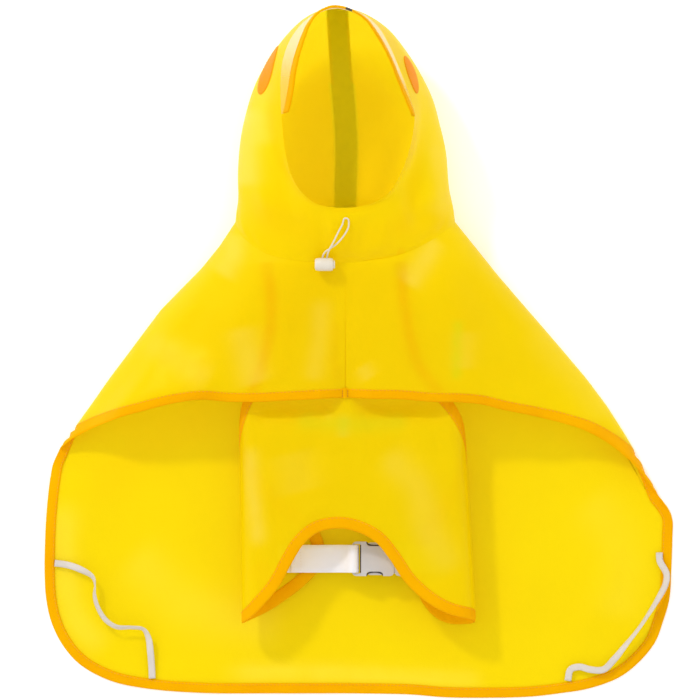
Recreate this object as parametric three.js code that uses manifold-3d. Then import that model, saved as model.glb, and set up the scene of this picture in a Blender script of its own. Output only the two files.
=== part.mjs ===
// Dog raincoat, laid on its back with the belly side up. Millimetres, +Z up, hood towards +Y.
import * as THREE from "three";
import Module from "manifold-3d";

const wasm = await Module();
wasm.setup();

// Cloth and trim
const CLOTH = 1.2;
const GAP = 0.3;
const HEM_BINDING = 9.2;
const BELLY_BINDING = 11;
const BINDING_THICK = 2.2;
const TAPE_WIDTH = 20;
const TAPE_THICK = 0.9;
const WEBBING_WIDTH = 25;
const WEBBING_THICK = 1.4;
const ELASTIC_WIDTH = 6;
const ELASTIC_THICK = 1;
const CORD_RADIUS = 0.75;
const BRIM_THICK = 1;
const BRIM_DEPTH = 32;
const BRIM_BINDING = 8;
const PATCH_SIZES = { patch_left: [28, 47], patch_right: [22, 36] };

// Chest
const SEAM_X = -11;
const NECK_Y = 78.5;
const HEM_Y = -45;
const NECK_HEIGHT = 75;
const HEM_HEIGHT = 62;
const SEAM_DIP = 8;
const SIDE_SAG = 14;

// Belly panel
const WING_HEIGHT = 11;
const WING_ROW = -84;

// Buckle
const BUCKLE_Y = -188;
const BUCKLE_Z = 18.8;
const BUCKLE_WIDTH = 31;
const SOCKET_ENDS = [-5, 33];
const PLUG_ENDS = [33.3, 49];

// Fold lines between the back and the fronts, from the neck to the corner of the hem.
// bulge is how far the cloth rounds out past the straight line, at equal steps along it.
const FOLDS = {
  left: {
    neck: [-110, 115],
    hem: [-268.5, -88],
    bulge: [0, -2, -1.5, 1.5, 4.4, 4, 3.4, 3, 1.6, 0.6, 0],
  },
  right: {
    neck: [88, 115],
    hem: [269.5, -131.5],
    bulge: [0, 1.4, 2.6, 5, 7.5, 9.8, 11.8, 12, 10, 6.6, 2.2],
  },
};

// Neck seam over the chest, and under the back of the neck, from left to right: x, y
const NECK_FRONT = [
  [-110, 115], [-104, 103], [-93, 93.5], [-81.5, 86.5], [-61, 81.5], [-38, 79], [-11, 78.5],
  [11, 80.5], [37.5, 85.5], [60, 95], [76, 105], [88, 115],
];
const NECK_BACK = [
  [-110, 115], [-101, 119], [-80, 124], [-50, 128.5], [-11, 130], [30, 128.5], [58, 124], [79, 119], [88, 115],
];

// Outer edge of the front hems, from the chest seam to the corners: x, y
const HEM_LEFT = [
  [-11, -43], [-34, -44], [-61, -45.5], [-88, -47], [-115, -47], [-140, -45.5], [-160.5, -48], [-178.5, -52],
  [-193, -56], [-211, -60.5], [-229, -66.5], [-244.5, -73], [-258, -80], [-268.5, -88],
];
const HEM_RIGHT = [
  [-11, -43], [11, -44], [38, -44.5], [65, -47], [92, -48], [110, -50], [128, -55], [155, -61.5],
  [182, -69.5], [205, -79], [224.5, -91], [245, -107], [260.5, -122.5], [269.5, -131.5],
];
// Outer edge of the back, from the left corner round the tail to the right corner: x, y
const HEM_BACK = [
  [-268.5, -88], [-274, -101], [-277, -117], [-280, -144], [-281.5, -171], [-282, -202.5], [-280.5, -225],
  [-276, -245], [-266, -265.5], [-250, -283.5], [-223, -298], [-191, -305], [-142, -309], [-70, -309.5],
  [-7, -309.5], [47, -310.5], [79, -313], [115, -313.5], [155, -312.5], [182, -309.5], [209, -305],
  [236, -295], [254, -281], [268, -263.5], [275, -245], [280.5, -225], [282, -198], [282.5, -171],
  [282, -151], [276, -139.5], [269.5, -131.5],
];

// Rings of the hood from the neck to the face. front and back are x, y, z; sides are the two extreme x.
const HOOD_RINGS = [
  { front: [-10, 90, 84], back: [-10, 190, -2], sides: [-107, 83] },
  { front: [-8.5, 103, 90], back: [-14, 243, -1], sides: [-106.5, 80] },
  { front: [-7, 112.5, 94], back: [-17, 287, 22], sides: [-101, 71] },
  { front: [-6, 120.5, 97], back: [-18, 306, 60], sides: [-88.5, 58] },
];
// Edge of the face opening, from the crown down the left side, under the chin and up the right side: x, y
const FACE_EDGE = [
  [-18, 307], [-33, 304], [-48, 294.5], [-60, 279], [-67, 260], [-69, 240], [-68.5, 214], [-65.8, 184],
  [-60.5, 160], [-51, 142.5], [-36, 131], [-12, 127.5], [11, 131], [27.5, 140.5], [38.5, 158], [48, 185],
  [51, 211], [46.5, 229], [40, 246], [29, 272], [17.5, 291], [2, 302.5], [-18, 307],
];
const FACE_HEIGHTS = [103, 98];
// Free edge of the brim, from the left end over the top to the right end: x, y
const BRIM_EDGE = [
  [-61.5, 213.5], [-58, 229.5], [-54.5, 253], [-48.5, 275.5], [-42, 293], [-34, 303], [-21, 308], [-5, 304],
  [7, 296], [17.5, 281], [27.5, 263], [35.5, 243], [42.5, 225.5], [49, 210.5],
];
const PATCHES = { patch_left: [-81, 252], patch_right: [49, 248] };

// Middle of the belly panel's binding in the flat cloth, from the neck round the wings and the arch
const BELLY_EDGE = [
  [-82, 79], [-78, 50], [-78, 21.5], [-84, -8], [-93, -33.5], [-103, -52], [-117, -81], [-138, -113], [-161, -140],
  [-180, -156], [-191, -168], [-194, -181], [-189, -195], [-178, -207], [-161, -220], [-140, -233], [-116, -240.5],
  [-100, -236], [-87, -224], [-74, -208], [-64.5, -190], [-52.5, -171], [-37.5, -159], [-17.5, -155],
  [1.5, -158.5], [19, -168], [33, -184.5], [46.5, -204.5], [64.5, -221.5], [83, -232], [106, -237.5], [128, -241],
  [146, -241], [158, -235], [167, -221], [171, -204], [170, -186], [158, -164], [142, -143], [122, -114], [104, -81],
  [88, -57], [68, -33], [53, -10], [46, 16], [41, 50], [39, 80],
];

// Leg elastics: x, y, z and the turn of the ribbon in degrees
const ELASTICS = {
  leg_elastic_left: [
    [-273, -192, 4.6, 0], [-262, -193.5, 4.6, 0], [-250, -197.5, 8, 10], [-238.5, -204.5, 12, 45],
    [-236.5, -212, 13, 80], [-237, -220, 13, 55], [-234.5, -230.5, 13, 50], [-227, -243, 12, 45],
    [-217, -249.5, 11, 50], [-204, -250, 10, 60], [-193, -251.5, 10, 60], [-188.5, -259, 8, 25], [-186.5, -273, 6, 0],
    [-185.5, -285, 4, 0], [-185, -296, 3.2, 0],
  ],
  leg_elastic_right: [
    [272, -182.5, 3.2, 0], [272.5, -190, 4.4, 10], [278.5, -202, 7, 25], [277.5, -211, 9, 30],
    [272, -222, 10, 30], [264, -235, 10, 30], [254, -250, 10, 30], [241.5, -266, 9, 25], [231, -279, 8, 15],
    [221.5, -288, 7, 0], [210, -288, 6, 0], [200, -285.5, 5, 0], [192, -288, 4, 0], [189.5, -298, 3.2, 0],
  ],
};

// Drawcord loop from one end in the cord lock to the other: x, y, z
const DRAWCORD = [
  [-31.2, 77, 83.6], [-31.2, 84, 83.6], [-29, 88, 86.6], [-24, 91.5, 89.4], [-18, 96, 91.7], [-12, 103, 93.9],
  [-8, 111, 96.1], [-8.6, 117.5, 97.5], [-11.6, 118, 97.5], [-13.6, 112.5, 96.3], [-16.6, 107, 94.9],
  [-19.6, 101, 94.6], [-22.6, 95, 93.2], [-25.6, 89.5, 90.4], [-27.2, 84, 83.8], [-27.4, 77, 83.6],
];

// Colours seen in daylight
const COLOURS = {
  yellow: [0xfad800, 0.5],
  orange: [0xf6a81a, 0.6],
  patch: [0xffb524, 0.5],
  film: [0xffe8b8, 0.3],
  tape: [0xa9a890, 0.4],
  white: [0xefe8de, 0.8],
  grey: [0xc4bdb7, 0.4],
  ivory: [0xeadcaf, 0.35],
};

const vec = (x, y, z = 0) => new THREE.Vector3(x, y, z);
const mix = (a, b, t) => a + (b - a) * t;
const clamp = (x, low, high) => Math.min(Math.max(x, low), high);
const smooth = (x) => {
  const t = clamp(x, 0, 1);
  return t * t * (3 - 2 * t);
};
const table = (values, t) => {
  const at = clamp(t, 0, 1) * (values.length - 1);
  const low = Math.min(Math.floor(at), values.length - 2);
  return mix(values[low], values[low + 1], at - low);
};

// A smooth run of equal steps through points
function curve(points, steps) {
  const path = new THREE.CatmullRomCurve3(points.map((p) => vec(...p)), false, "centripetal");
  path.arcLengthDivisions = 1500;
  return path.getSpacedPoints(steps);
}

function lengths(line) {
  const out = [0];
  for (let i = 1; i < line.length; i++) out.push(out[i - 1] + line[i].distanceTo(line[i - 1]));
  return out;
}

// The point of a line at a share of its steps
function stepAt(line, share) {
  const at = clamp(share, 0, 1) * (line.length - 1);
  const low = Math.min(Math.floor(at), line.length - 2);
  return line[low].clone().lerp(line[low + 1], at - low);
}

// The point of a line at a distance along it
function along(line, runs, distance) {
  let i = 1;
  while (i < line.length - 1 && runs[i] < distance) i++;
  const t = (distance - runs[i - 1]) / (runs[i] - runs[i - 1]);
  return line[i - 1].clone().lerp(line[i], clamp(t, 0, 1));
}

// A flat line moved to its left by a distance
function moved(line, distance) {
  return line.map((p, i) => {
    const way = line[Math.min(i + 1, line.length - 1)].clone().sub(line[Math.max(i - 1, 0)]).normalize();
    return vec(p.x - way.y * distance, p.y + way.x * distance);
  });
}

// A closed wall from a surface: points lifted along their normals on one side and lowered on the other
function wall(points, normals, faces, lift, drop) {
  const count = points.length;
  const outer = points.map((p, i) => p.clone().addScaledVector(normals[i], lift));
  const inner = points.map((p, i) => p.clone().addScaledVector(normals[i], -drop));
  const index = [];
  const open = new Map();
  for (const [a, b, c] of faces) {
    index.push(a, b, c, count + c, count + b, count + a);
    for (const [from, to] of [[a, b], [b, c], [c, a]]) {
      if (!open.delete(`${to}_${from}`)) open.set(`${from}_${to}`, [from, to]);
    }
  }
  for (const [from, to] of open.values()) {
    index.push(to, from, count + from, to, count + from, count + to);
  }
  return solid([...outer, ...inner], index);
}

function solid(points, index) {
  let volume = 0;
  for (let i = 0; i < index.length; i += 3) {
    const [a, b, c] = [points[index[i]], points[index[i + 1]], points[index[i + 2]]];
    volume += a.dot(b.clone().cross(c));
  }
  if (volume < 0) index.reverse();
  const geometry = new THREE.BufferGeometry();
  geometry.setAttribute("position", new THREE.Float32BufferAttribute(points.flatMap((p) => p.toArray()), 3));
  geometry.setIndex(index);
  geometry.computeVertexNormals();
  return geometry;
}

// Faces of a grid stored row by row
function gridFaces(rows, columns, start = 0) {
  const faces = [];
  for (let i = 0; i < rows - 1; i++) {
    for (let j = 0; j < columns - 1; j++) {
      const a = start + i * columns + j;
      faces.push([a, a + 1, a + columns + 1], [a, a + columns + 1, a + columns]);
    }
  }
  return faces;
}

// Normals of a surface given as a function of flat cloth coordinates
function normalOf(surface, p, step = 1) {
  const across = surface(vec(p.x + step, p.y)).sub(surface(vec(p.x - step, p.y)));
  const down = surface(vec(p.x, p.y + step)).sub(surface(vec(p.x, p.y - step)));
  return across.cross(down).normalize();
}

// Normals of a grid of points, from its neighbours
function gridNormals(grid) {
  const rows = grid.length;
  return grid.map((row, i) =>
    row.map((p, j) => {
      const side = row[Math.min(j + 1, row.length - 1)].clone().sub(row[Math.max(j - 1, 0)]);
      const up = grid[Math.min(i + 1, rows - 1)][j].clone().sub(grid[Math.max(i - 1, 0)][j]);
      return side.cross(up).normalize();
    }),
  );
}

function gridWall(grid, normals, lift, drop) {
  return wall(grid.flat(), normals.flat(), gridFaces(grid.length, grid[0].length), lift, drop);
}

// Folds: distance from the line towards the middle, and the share of the way to the hem
function foldOf({ neck, hem, bulge }) {
  const start = vec(...neck);
  const way = vec(...hem).sub(start);
  const length = way.length();
  way.normalize();
  const inward = vec(way.y, -way.x);
  if (inward.x * (SEAM_X - start.x) < 0) inward.negate();
  return {
    bulge,
    inward,
    distance: (p) => p.clone().sub(start).dot(inward),
    share: (p) => p.clone().sub(start).dot(way) / length,
  };
}
const foldLeft = foldOf(FOLDS.left);
const foldRight = foldOf(FOLDS.right);
const mirrored = (p, fold) => p.clone().addScaledVector(fold.inward, -2 * fold.distance(p));

// Rounded step from 0 to 1
const rounded = (x, power) => Math.pow(1 - Math.pow(1 - clamp(x, 0, 1), power), 1 / power);
const foldRadius = (share) => table([34, 24, 15, 10, 7, 5.5, 4.5], share);
const foldReach = (share) => table([60, 40, 24, 14, 9, 6, 5], share);

// Height of the chest's outside. dip is how far the middle sinks at the hem.
function chestHeight(p, fold, dip) {
  const down = clamp((NECK_Y - p.y) / (NECK_Y - HEM_Y), 0, 1.4);
  const away = Math.abs(p.x - SEAM_X);
  const plateau = mix(NECK_HEIGHT, HEM_HEIGHT, down) - SIDE_SAG * Math.min(down, 1) * smooth((away - 60) / 110);
  const radius = foldRadius(fold.share(p));
  const height = radius + (plateau - radius) * rounded(fold.distance(p) / 72, 1.7);
  return height - dip(away) * Math.min(down, 1);
}
const frontDip = (away) => SEAM_DIP * Math.exp(-((away / 16) ** 2));
const backHeight = (p, fold) =>
  foldRadius(fold.share(p)) * (1 - rounded(fold.distance(p) / foldReach(fold.share(p)), 2));
// The left margin of the back stands up a little below the corner of the hem.
const marginLift = (p) => 9 * smooth((-p.x - 205) / 75) * smooth((-p.y - 100) / 30) * smooth((p.y + 205) / 60);

// The cape's outside from its flat cloth
function capeSurface(q) {
  const fold = foldLeft.distance(q) < foldRight.distance(q) ? foldLeft : foldRight;
  const isFront = fold.distance(q) < 0;
  const plan = isFront ? mirrored(q, fold) : q.clone();
  const height = isFront ? chestHeight(plan, fold, frontDip) : backHeight(q, fold) + marginLift(q);
  const bulge = table(fold.bulge, fold.share(plan)) * Math.exp(-fold.distance(plan) / 45);
  plan.addScaledVector(fold.inward, -bulge);
  return vec(plan.x, plan.y, height);
}

const capeNormal = (q) => normalOf(capeSurface, q).negate();

const flatHem = curve(
  [
    ...HEM_LEFT.map((p) => mirrored(vec(...p), foldLeft)),
    ...HEM_BACK.slice(1, -1).map((p) => vec(...p)),
    ...HEM_RIGHT.map((p) => mirrored(vec(...p), foldRight)).reverse(),
  ].map((p) => [p.x, p.y]),
  700,
);

// Where a flat line crosses a fold, as a share of its steps
function crossing(line, fold) {
  for (let i = 1; i < line.length; i++) {
    const [a, b] = [fold.distance(line[i - 1]), fold.distance(line[i])];
    if (a * b <= 0) return (i - 1 + a / (a - b)) / (line.length - 1);
  }
  throw new Error("the line does not cross the fold");
}

// Stops along the hem on either side of a fold, closer together near it
function stops(near, far) {
  const total = Math.abs(far - near);
  const inside = [];
  for (let away = 0, gap = 1.5; away < total - 13; away += gap, gap = Math.min(gap * 1.45, away < 40 ? 6 : 23)) {
    inside.push(near + Math.sign(far - near) * away);
  }
  return [...inside, far];
}
// The same number of stops on the neck edge
function matched(near, far, count) {
  return Array.from({ length: count }, (_, i) => mix(near, far, Math.pow(i / (count - 1), 1.5)));
}

const hemLength = lengths(flatHem).at(-1);
const hemInner = moved(flatHem, HEM_BINDING + GAP);

function capeColumns() {
  const seam = GAP / 2;
  const front = curve(NECK_FRONT, 300);
  const middle = front.findIndex((p) => p.x > SEAM_X);
  const left = front.slice(0, middle).reverse();
  const right = front.slice(middle);
  left[0].x = SEAM_X - seam;
  right[0].x = SEAM_X + seam;
  const neck = [
    ...left.map((p) => mirrored(p, foldLeft)),
    ...curve(NECK_BACK, 200).slice(1),
    ...right.reverse().slice(1).map((p) => mirrored(p, foldRight)),
  ];
  const neckRuns = lengths(neck);
  const hemCross = [foldLeft, foldRight].map((fold) => crossing(hemInner, fold) * hemLength);
  const neckCross = [lengths(left).at(-1), neckRuns.at(-1) - lengths(right).at(-1)];
  const hemMiddle = (hemCross[0] + hemCross[1]) / 2;
  const neckMiddle = (neckCross[0] + neckCross[1]) / 2;
  const parts = [
    [hemCross[0], 0, neckCross[0], 0],
    [hemCross[0], hemMiddle, neckCross[0], neckMiddle],
    [hemCross[1], hemMiddle, neckCross[1], neckMiddle],
    [hemCross[1], hemLength, neckCross[1], neckRuns.at(-1)],
  ];
  const pairs = new Map();
  for (const [near, far, neckNear, neckFar] of parts) {
    const below = stops(near, far);
    const above = matched(neckNear, neckFar, below.length);
    below.forEach((b, i) => pairs.set(b.toFixed(4), [along(neck, neckRuns, above[i]), b / hemLength]));
  }
  return [...pairs.values()].sort((a, b) => a[1] - b[1]);
}
const columns = capeColumns();
const flatCape = [0, 0.04, 0.11, 0.2, 0.31, 0.43, 0.56, 0.7, 0.85, 1].map((t) =>
  columns.map(([above, share]) => above.clone().lerp(stepAt(hemInner, share), t)),
);

// A strip of a surface between offsets from a flat line, at shares of the line
function strip(surface, normal, line, shares, offsets, lift, drop) {
  const sides = offsets.map((offset) => moved(line, offset));
  const flat = shares.map((share) => sides.map((side) => stepAt(side, share)));
  return gridWall(flat.map((row) => row.map(surface)), flat.map((row) => row.map(normal)), lift, drop);
}

const capePoints = flatCape.map((row) => row.map(capeSurface));
const capeNormals = flatCape.map((row) => row.map(capeNormal));
const cape = gridWall(capePoints, capeNormals, 0, CLOTH);
const capeBinding = strip(
  capeSurface, capeNormal, flatHem, columns.map(([, share]) => share), [0, HEM_BINDING / 2, HEM_BINDING],
  0, BINDING_THICK,
);

// Hood
function hoodRing({ front, back, sides }, steps) {
  const half = steps / 2;
  const middle = (sides[0] + sides[1]) / 2;
  const points = [];
  for (let i = 0; i <= steps; i++) {
    const angle = (Math.PI * i) / half;
    const forward = (1 - Math.cos(angle)) / 2;
    const reach = Math.abs(Math.sin(angle));
    const spine = mix(back[0], front[0], forward);
    const edge = i < half ? sides[0] : sides[1];
    const x = spine + (edge - mix(spine, middle, reach) + (mix(spine, middle, reach) - spine)) * reach;
    points.push(vec(x, mix(back[1], front[1], forward), mix(back[2], front[2], forward)));
  }
  return points;
}
// A ring as equal steps down its left side and up its right side, with the slit of the crown seam at the back
function evenRing(ring, front, count) {
  const halves = [ring.slice(0, front + 1), ring.slice(front)];
  const out = halves.flatMap((half, side) => {
    const runs = lengths(half);
    const steps = Array.from({ length: count + 1 }, (_, i) => along(half, runs, (runs.at(-1) * i) / count));
    return side ? steps.slice(1) : steps;
  });
  out[0].x -= GAP / 2;
  out[out.length - 1].x += GAP / 2;
  return out;
}

const HOOD_SIDE = 20;
function faceRing() {
  const line = curve(FACE_EDGE, 240);
  const [back, chin] = [line[0].y, Math.min(...line.map((p) => p.y))];
  for (const p of line) p.z = mix(...FACE_HEIGHTS, (back - p.y) / (back - chin));
  return evenRing(line, line.findIndex((p) => p.y === chin), HOOD_SIDE);
}
const HOOD_ROWS = [0, 0.03, 0.09, 0.17, 0.26, 0.35, 0.44, 0.53, 0.62, 0.71, 0.8, 0.88, 0.95, 1];
function neckRing() {
  const row = capePoints[0];
  const count = row.length - 1;
  const start = row.findIndex((p, i) => i > count / 4 && p.x >= SEAM_X && p.y > 125);
  const backPoint = vec(SEAM_X, row[start].y, row[start].z);
  const toLeft = row.slice(0, start).reverse();
  const toRight = row.slice(start).reverse();
  return {
    ring: [backPoint, ...toLeft, ...toRight.slice(1), backPoint.clone()],
    front: toLeft.length,
  };
}
function hoodGrid() {
  const { ring, front } = neckRing();
  const first = evenRing(ring, front, HOOD_SIDE);
  const others = HOOD_RINGS.map((r) => evenRing(hoodRing(r, 240), 120, HOOD_SIDE));
  others.push(faceRing());
  const columns = first.map((p, j) => {
    const next = others[0][j].clone().sub(p).normalize();
    const start = p.clone().addScaledVector(next, GAP);
    const path = new THREE.CatmullRomCurve3([start, ...others.map((ringPoints) => ringPoints[j])], false, "centripetal");
    return HOOD_ROWS.map((t) => path.getPoint(t));
  });
  const floor = TAPE_THICK + GAP;
  return columns[0].map((_, i) =>
    columns.map((column) => {
      const p = column[i];
      const over = p.z - floor;
      if (i > 0 && over < 3) p.z = floor + (over > -3 ? (over + 3) ** 2 / 12 : 0);
      return p;
    }),
  );
}
// At the neck seam the hood's cut edge is square to the same line as the cape's.
function seamNormals() {
  const edge = capePoints[0];
  return hoodPoints[0].map((p) => {
    const gaps = edge.map((q) => q.distanceTo(p));
    const near = gaps.indexOf(Math.min(...gaps));
    return capeNormals[0][near].clone();
  });
}
const hoodPoints = hoodGrid();
const hoodNormals = gridNormals(hoodPoints);
hoodNormals[0] = seamNormals();
const hood = gridWall(hoodPoints, hoodNormals, 0, CLOTH);

// A point of the hood's outside and its normal, by column and row
function onHood(column, row) {
  const j = clamp(Math.floor(column), 0, hoodPoints[0].length - 2);
  const i = clamp(Math.floor(row), 0, hoodPoints.length - 2);
  const [s, t] = [column - j, row - i];
  const blend = (grid) =>
    grid[i][j].clone().lerp(grid[i][j + 1], s).lerp(grid[i + 1][j].clone().lerp(grid[i + 1][j + 1], s), t);
  return [blend(hoodPoints), blend(hoodNormals).normalize()];
}

// Tape over the crown seam, from just above the neck to the brim
function tapeWall() {
  const last = hoodPoints[0].length - 1;
  const points = [];
  const normals = [];
  const rows = hoodPoints.length;
  for (let i = 1; i < rows; i++) {
    const width = hoodPoints[i][0].distanceTo(hoodPoints[i][1]);
    const row = i === rows - 1 ? i - 0.15 : i;
    for (const share of [-1, -0.5, 0, 0.5, 1]) {
      const away = Math.abs(share * TAPE_WIDTH) / 2 / width;
      const [p, n] = onHood(share < 0 ? away : last - away, row);
      if (share === 0) {
        const [other, otherNormal] = onHood(0, row);
        p.lerp(other, 0.5);
        n.add(otherNormal).normalize();
      }
      points.push(p);
      normals.push(n);
    }
  }
  return wall(points, normals, gridFaces(rows - 1, 5), GAP + TAPE_THICK, -GAP);
}

// Oval patch on the side of the hood
function patchWall([x, y], [wide, long]) {
  const wanted = vec(x, y);
  let best = [0, 0, Infinity];
  for (let row = 3; row < hoodPoints.length - 2; row += 0.25) {
    for (let column = 3; column < hoodPoints[0].length - 4; column += 0.25) {
      const p = onHood(column, row)[0];
      const miss = Math.hypot(p.x - wanted.x, p.y - wanted.y) + (p.z < 60 ? 40 : 0);
      if (miss < best[2]) best = [column, row, miss];
    }
  }
  const [column, row] = best;
  const step = 0.5;
  const rowSize = onHood(column, row + step)[0].distanceTo(onHood(column, row - step)[0]);
  const columnSize = onHood(column + step, row)[0].distanceTo(onHood(column - step, row)[0]);
  const points = [];
  const normals = [];
  const faces = [];
  const around = 20;
  const add = (radius, angle) => {
    const [p, n] = onHood(
      column + (Math.cos(angle) * radius * long) / 2 / columnSize,
      row + (Math.sin(angle) * radius * wide) / 2 / rowSize,
    );
    points.push(p);
    normals.push(n);
  };
  add(0, 0);
  for (const radius of [0.55, 1]) for (let k = 0; k < around; k++) add(radius, (2 * Math.PI * k) / around);
  for (let k = 0; k < around; k++) {
    const next = (k + 1) % around;
    faces.push([0, 1 + k, 1 + next], [1 + k, 1 + around + k, 1 + around + next], [1 + k, 1 + around + next, 1 + next]);
  }
  return wall(points, normals, faces, 1.1, -0.5);
}

// Brim: from the upper half of the face opening to its free edge
function brimGrid() {
  const face = hoodPoints.at(-1);
  const reversed = [...face.slice(0, HOOD_SIDE + 1).filter((p) => p.y > 209)].reverse();
  const other = [...face.slice(HOOD_SIDE)].filter((p) => p.y > 207).reverse();
  const base = curve([...reversed.map((p) => p.toArray()), ...other.slice(1).map((p) => p.toArray())], 32);
  const edge = curve(BRIM_EDGE, 32);
  return base.map((p, j) => {
    const t = j / 32;
    const depth = 9 + (BRIM_DEPTH - 9) * Math.pow(Math.sin(Math.PI * t), 0.8);
    const top = vec(edge[j].x, edge[j].y, p.z + depth);
    const foot = p.clone().add(vec(0, 0, GAP + 0.5));
    return { foot, top, height: top.distanceTo(foot) };
  });
}
const brimLines = brimGrid();
function brimWall(from, to, thick) {
  const grid = brimLines.map(({ foot, top, height }) =>
    [0, 0.5, 1].map((t) => foot.clone().lerp(top, mix(from(height), to(height), t) / height)),
  );
  return gridWall(grid, gridNormals(grid), thick / 2, thick / 2);
}

// Belly panel: flat cloth coordinates to the top, the two side folds and the wings below
const bellySides = (t) => {
  const down = clamp((-81 - t) / 157, -0.3, 1);
  return [-106 + 2 * down, 97 + 9 * down];
};
const bellyDip = () => SEAM_DIP + BINDING_THICK + GAP;
const bellyHeight = (x, y) => {
  const p = vec(x, y);
  const below = CLOTH + 0.9 + 1.5 * smooth((Math.abs(x - SEAM_X) - 45) / 30);
  const neckDrop = below * (1 - clamp((NECK_Y - y) / (NECK_Y - HEM_Y), 0, 1));
  return chestHeight(p, x < SEAM_X ? foldLeft : foldRight, bellyDip) - neckDrop;
};
function bellySurface(q) {
  const [left, right] = bellySides(q.y);
  const isLeft = q.x < SEAM_X;
  const edge = isLeft ? left : right;
  const way = isLeft ? -1 : 1;
  const radius = (bellyHeight(edge - way * 17, q.y) - WING_HEIGHT) / 2;
  const start = edge - way * radius;
  const past = (q.x - start) * way;
  if (past <= 0) return vec(q.x, q.y, bellyHeight(q.x, q.y));
  const top = bellyHeight(start, q.y);
  if (past < Math.PI * radius) {
    const angle = past / radius;
    return vec(start + way * radius * Math.sin(angle), q.y, top - radius * (1 - Math.cos(angle)));
  }
  return vec(start - way * (past - Math.PI * radius), q.y, top - 2 * radius);
}

const bellyNormal = (q) => normalOf(bellySurface, q);
const bellyLine = curve(BELLY_EDGE, 500);
// Where a part of a line meets a value of x or y
function meet(line, axis, value) {
  const other = axis === "x" ? "y" : "x";
  for (let i = 1; i < line.length; i++) {
    const [a, b] = [line[i - 1], line[i]];
    if ((a[axis] - value) * (b[axis] - value) <= 0 && a[axis] !== b[axis]) {
      return mix(a[other], b[other], (value - a[axis]) / (b[axis] - a[axis]));
    }
  }
  const ends = [line[0], line.at(-1)].sort((a, b) => Math.abs(a[axis] - value) - Math.abs(b[axis] - value));
  return ends[0][other];
}

function bellyWall() {
  const inner = moved(bellyLine, BELLY_BINDING / 2 + GAP + 0.15);
  const leftTip = inner.reduce((best, p, i) => (p.x < inner[best].x ? i : best), 0);
  const rightTip = inner.reduce((best, p, i) => (p.x > inner[best].x ? i : best), 0);
  const leftSide = inner.slice(0, leftTip + 1);
  const rightSide = inner.slice(rightTip);
  const bottom = inner.slice(leftTip, rightTip + 1);
  const span = [meet(leftSide, "y", WING_ROW), meet(rightSide, "y", WING_ROW)];
  const shares = Array.from({ length: 29 }, (_, i) => i / 28);
  const middle = shares.map((f) => mix(span[0], span[1], f));
  const wings = 11;
  const leftX = Array.from({ length: wings }, (_, i) => mix(inner[leftTip].x + 0.4, span[0], i / wings));
  const rightX = Array.from({ length: wings }, (_, i) => mix(inner[rightTip].x - 0.4, span[1], i / wings)).reverse();
  const topAt = (x, line) => meet(line, "x", x);
  const columns = [
    ...leftX.map((x) => [x, topAt(x, leftSide)]),
    ...middle.map((x) => [x, WING_ROW]),
    ...rightX.map((x) => [x, topAt(x, rightSide)]),
  ];
  const lowerRows = 5;
  const flat = [];
  for (let i = 0; i < lowerRows; i++) {
    for (const [x, top] of columns) flat.push(vec(x, mix(meet(bottom, "x", x), top, i / (lowerRows - 1))));
  }
  const faces = gridFaces(lowerRows, columns.length);
  const shared = (lowerRows - 1) * columns.length + wings;
  const upperRows = 13;
  const start = flat.length;
  const tops = [leftSide[0].y, rightSide.at(-1).y];
  const neckHollow = (tops[0] + tops[1]) / 2 - NECK_Y + 1.5;
  for (let i = 1; i < upperRows; i++) {
    const t = i / (upperRows - 1);
    const levels = tops.map((top) => mix(WING_ROW, top, t));
    const ends = [meet(leftSide, "y", levels[0]), meet(rightSide, "y", levels[1])];
    for (const share of shares) {
      const top = mix(tops[0], tops[1], share) - neckHollow * 4 * share * (1 - share);
      flat.push(vec(mix(ends[0], ends[1], share), mix(WING_ROW, top, t)));
    }
  }
  const width = shares.length;
  for (let j = 0; j < width - 1; j++) {
    faces.push([shared + j, shared + j + 1, start + j + 1], [shared + j, start + j + 1, start + j]);
  }
  faces.push(...gridFaces(upperRows - 1, width, start));
  return wall(flat.map(bellySurface), flat.map(bellyNormal), faces, 0, CLOTH);
}

function bellyBindingWall() {
  const shares = Array.from({ length: 101 }, (_, i) => i / 100);
  const half = BELLY_BINDING / 2;
  const proud = (BINDING_THICK - CLOTH) / 2;
  return strip(bellySurface, bellyNormal, bellyLine, shares, [-half, half], proud, CLOTH + proud);
}

// A ribbon along a route whose points hold x, y, z and a turn in degrees
function ribbon(route, steps, width, thick) {
  const line = curve(route.map((p) => p.slice(0, 3)), steps);
  const turns = route.map((p) => p[3]);
  const grid = line.map((p, i) => {
    const way = line[Math.min(i + 1, steps)].clone().sub(line[Math.max(i - 1, 0)]).normalize();
    const side = vec(0, 0, 1).cross(way).normalize();
    side.applyAxisAngle(way, THREE.MathUtils.degToRad(table(turns, i / steps)));
    return [p.clone().addScaledVector(side, -width / 2), p.clone().addScaledVector(side, width / 2)];
  });
  return gridWall(grid, gridNormals(grid), thick / 2, thick / 2);
}

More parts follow.
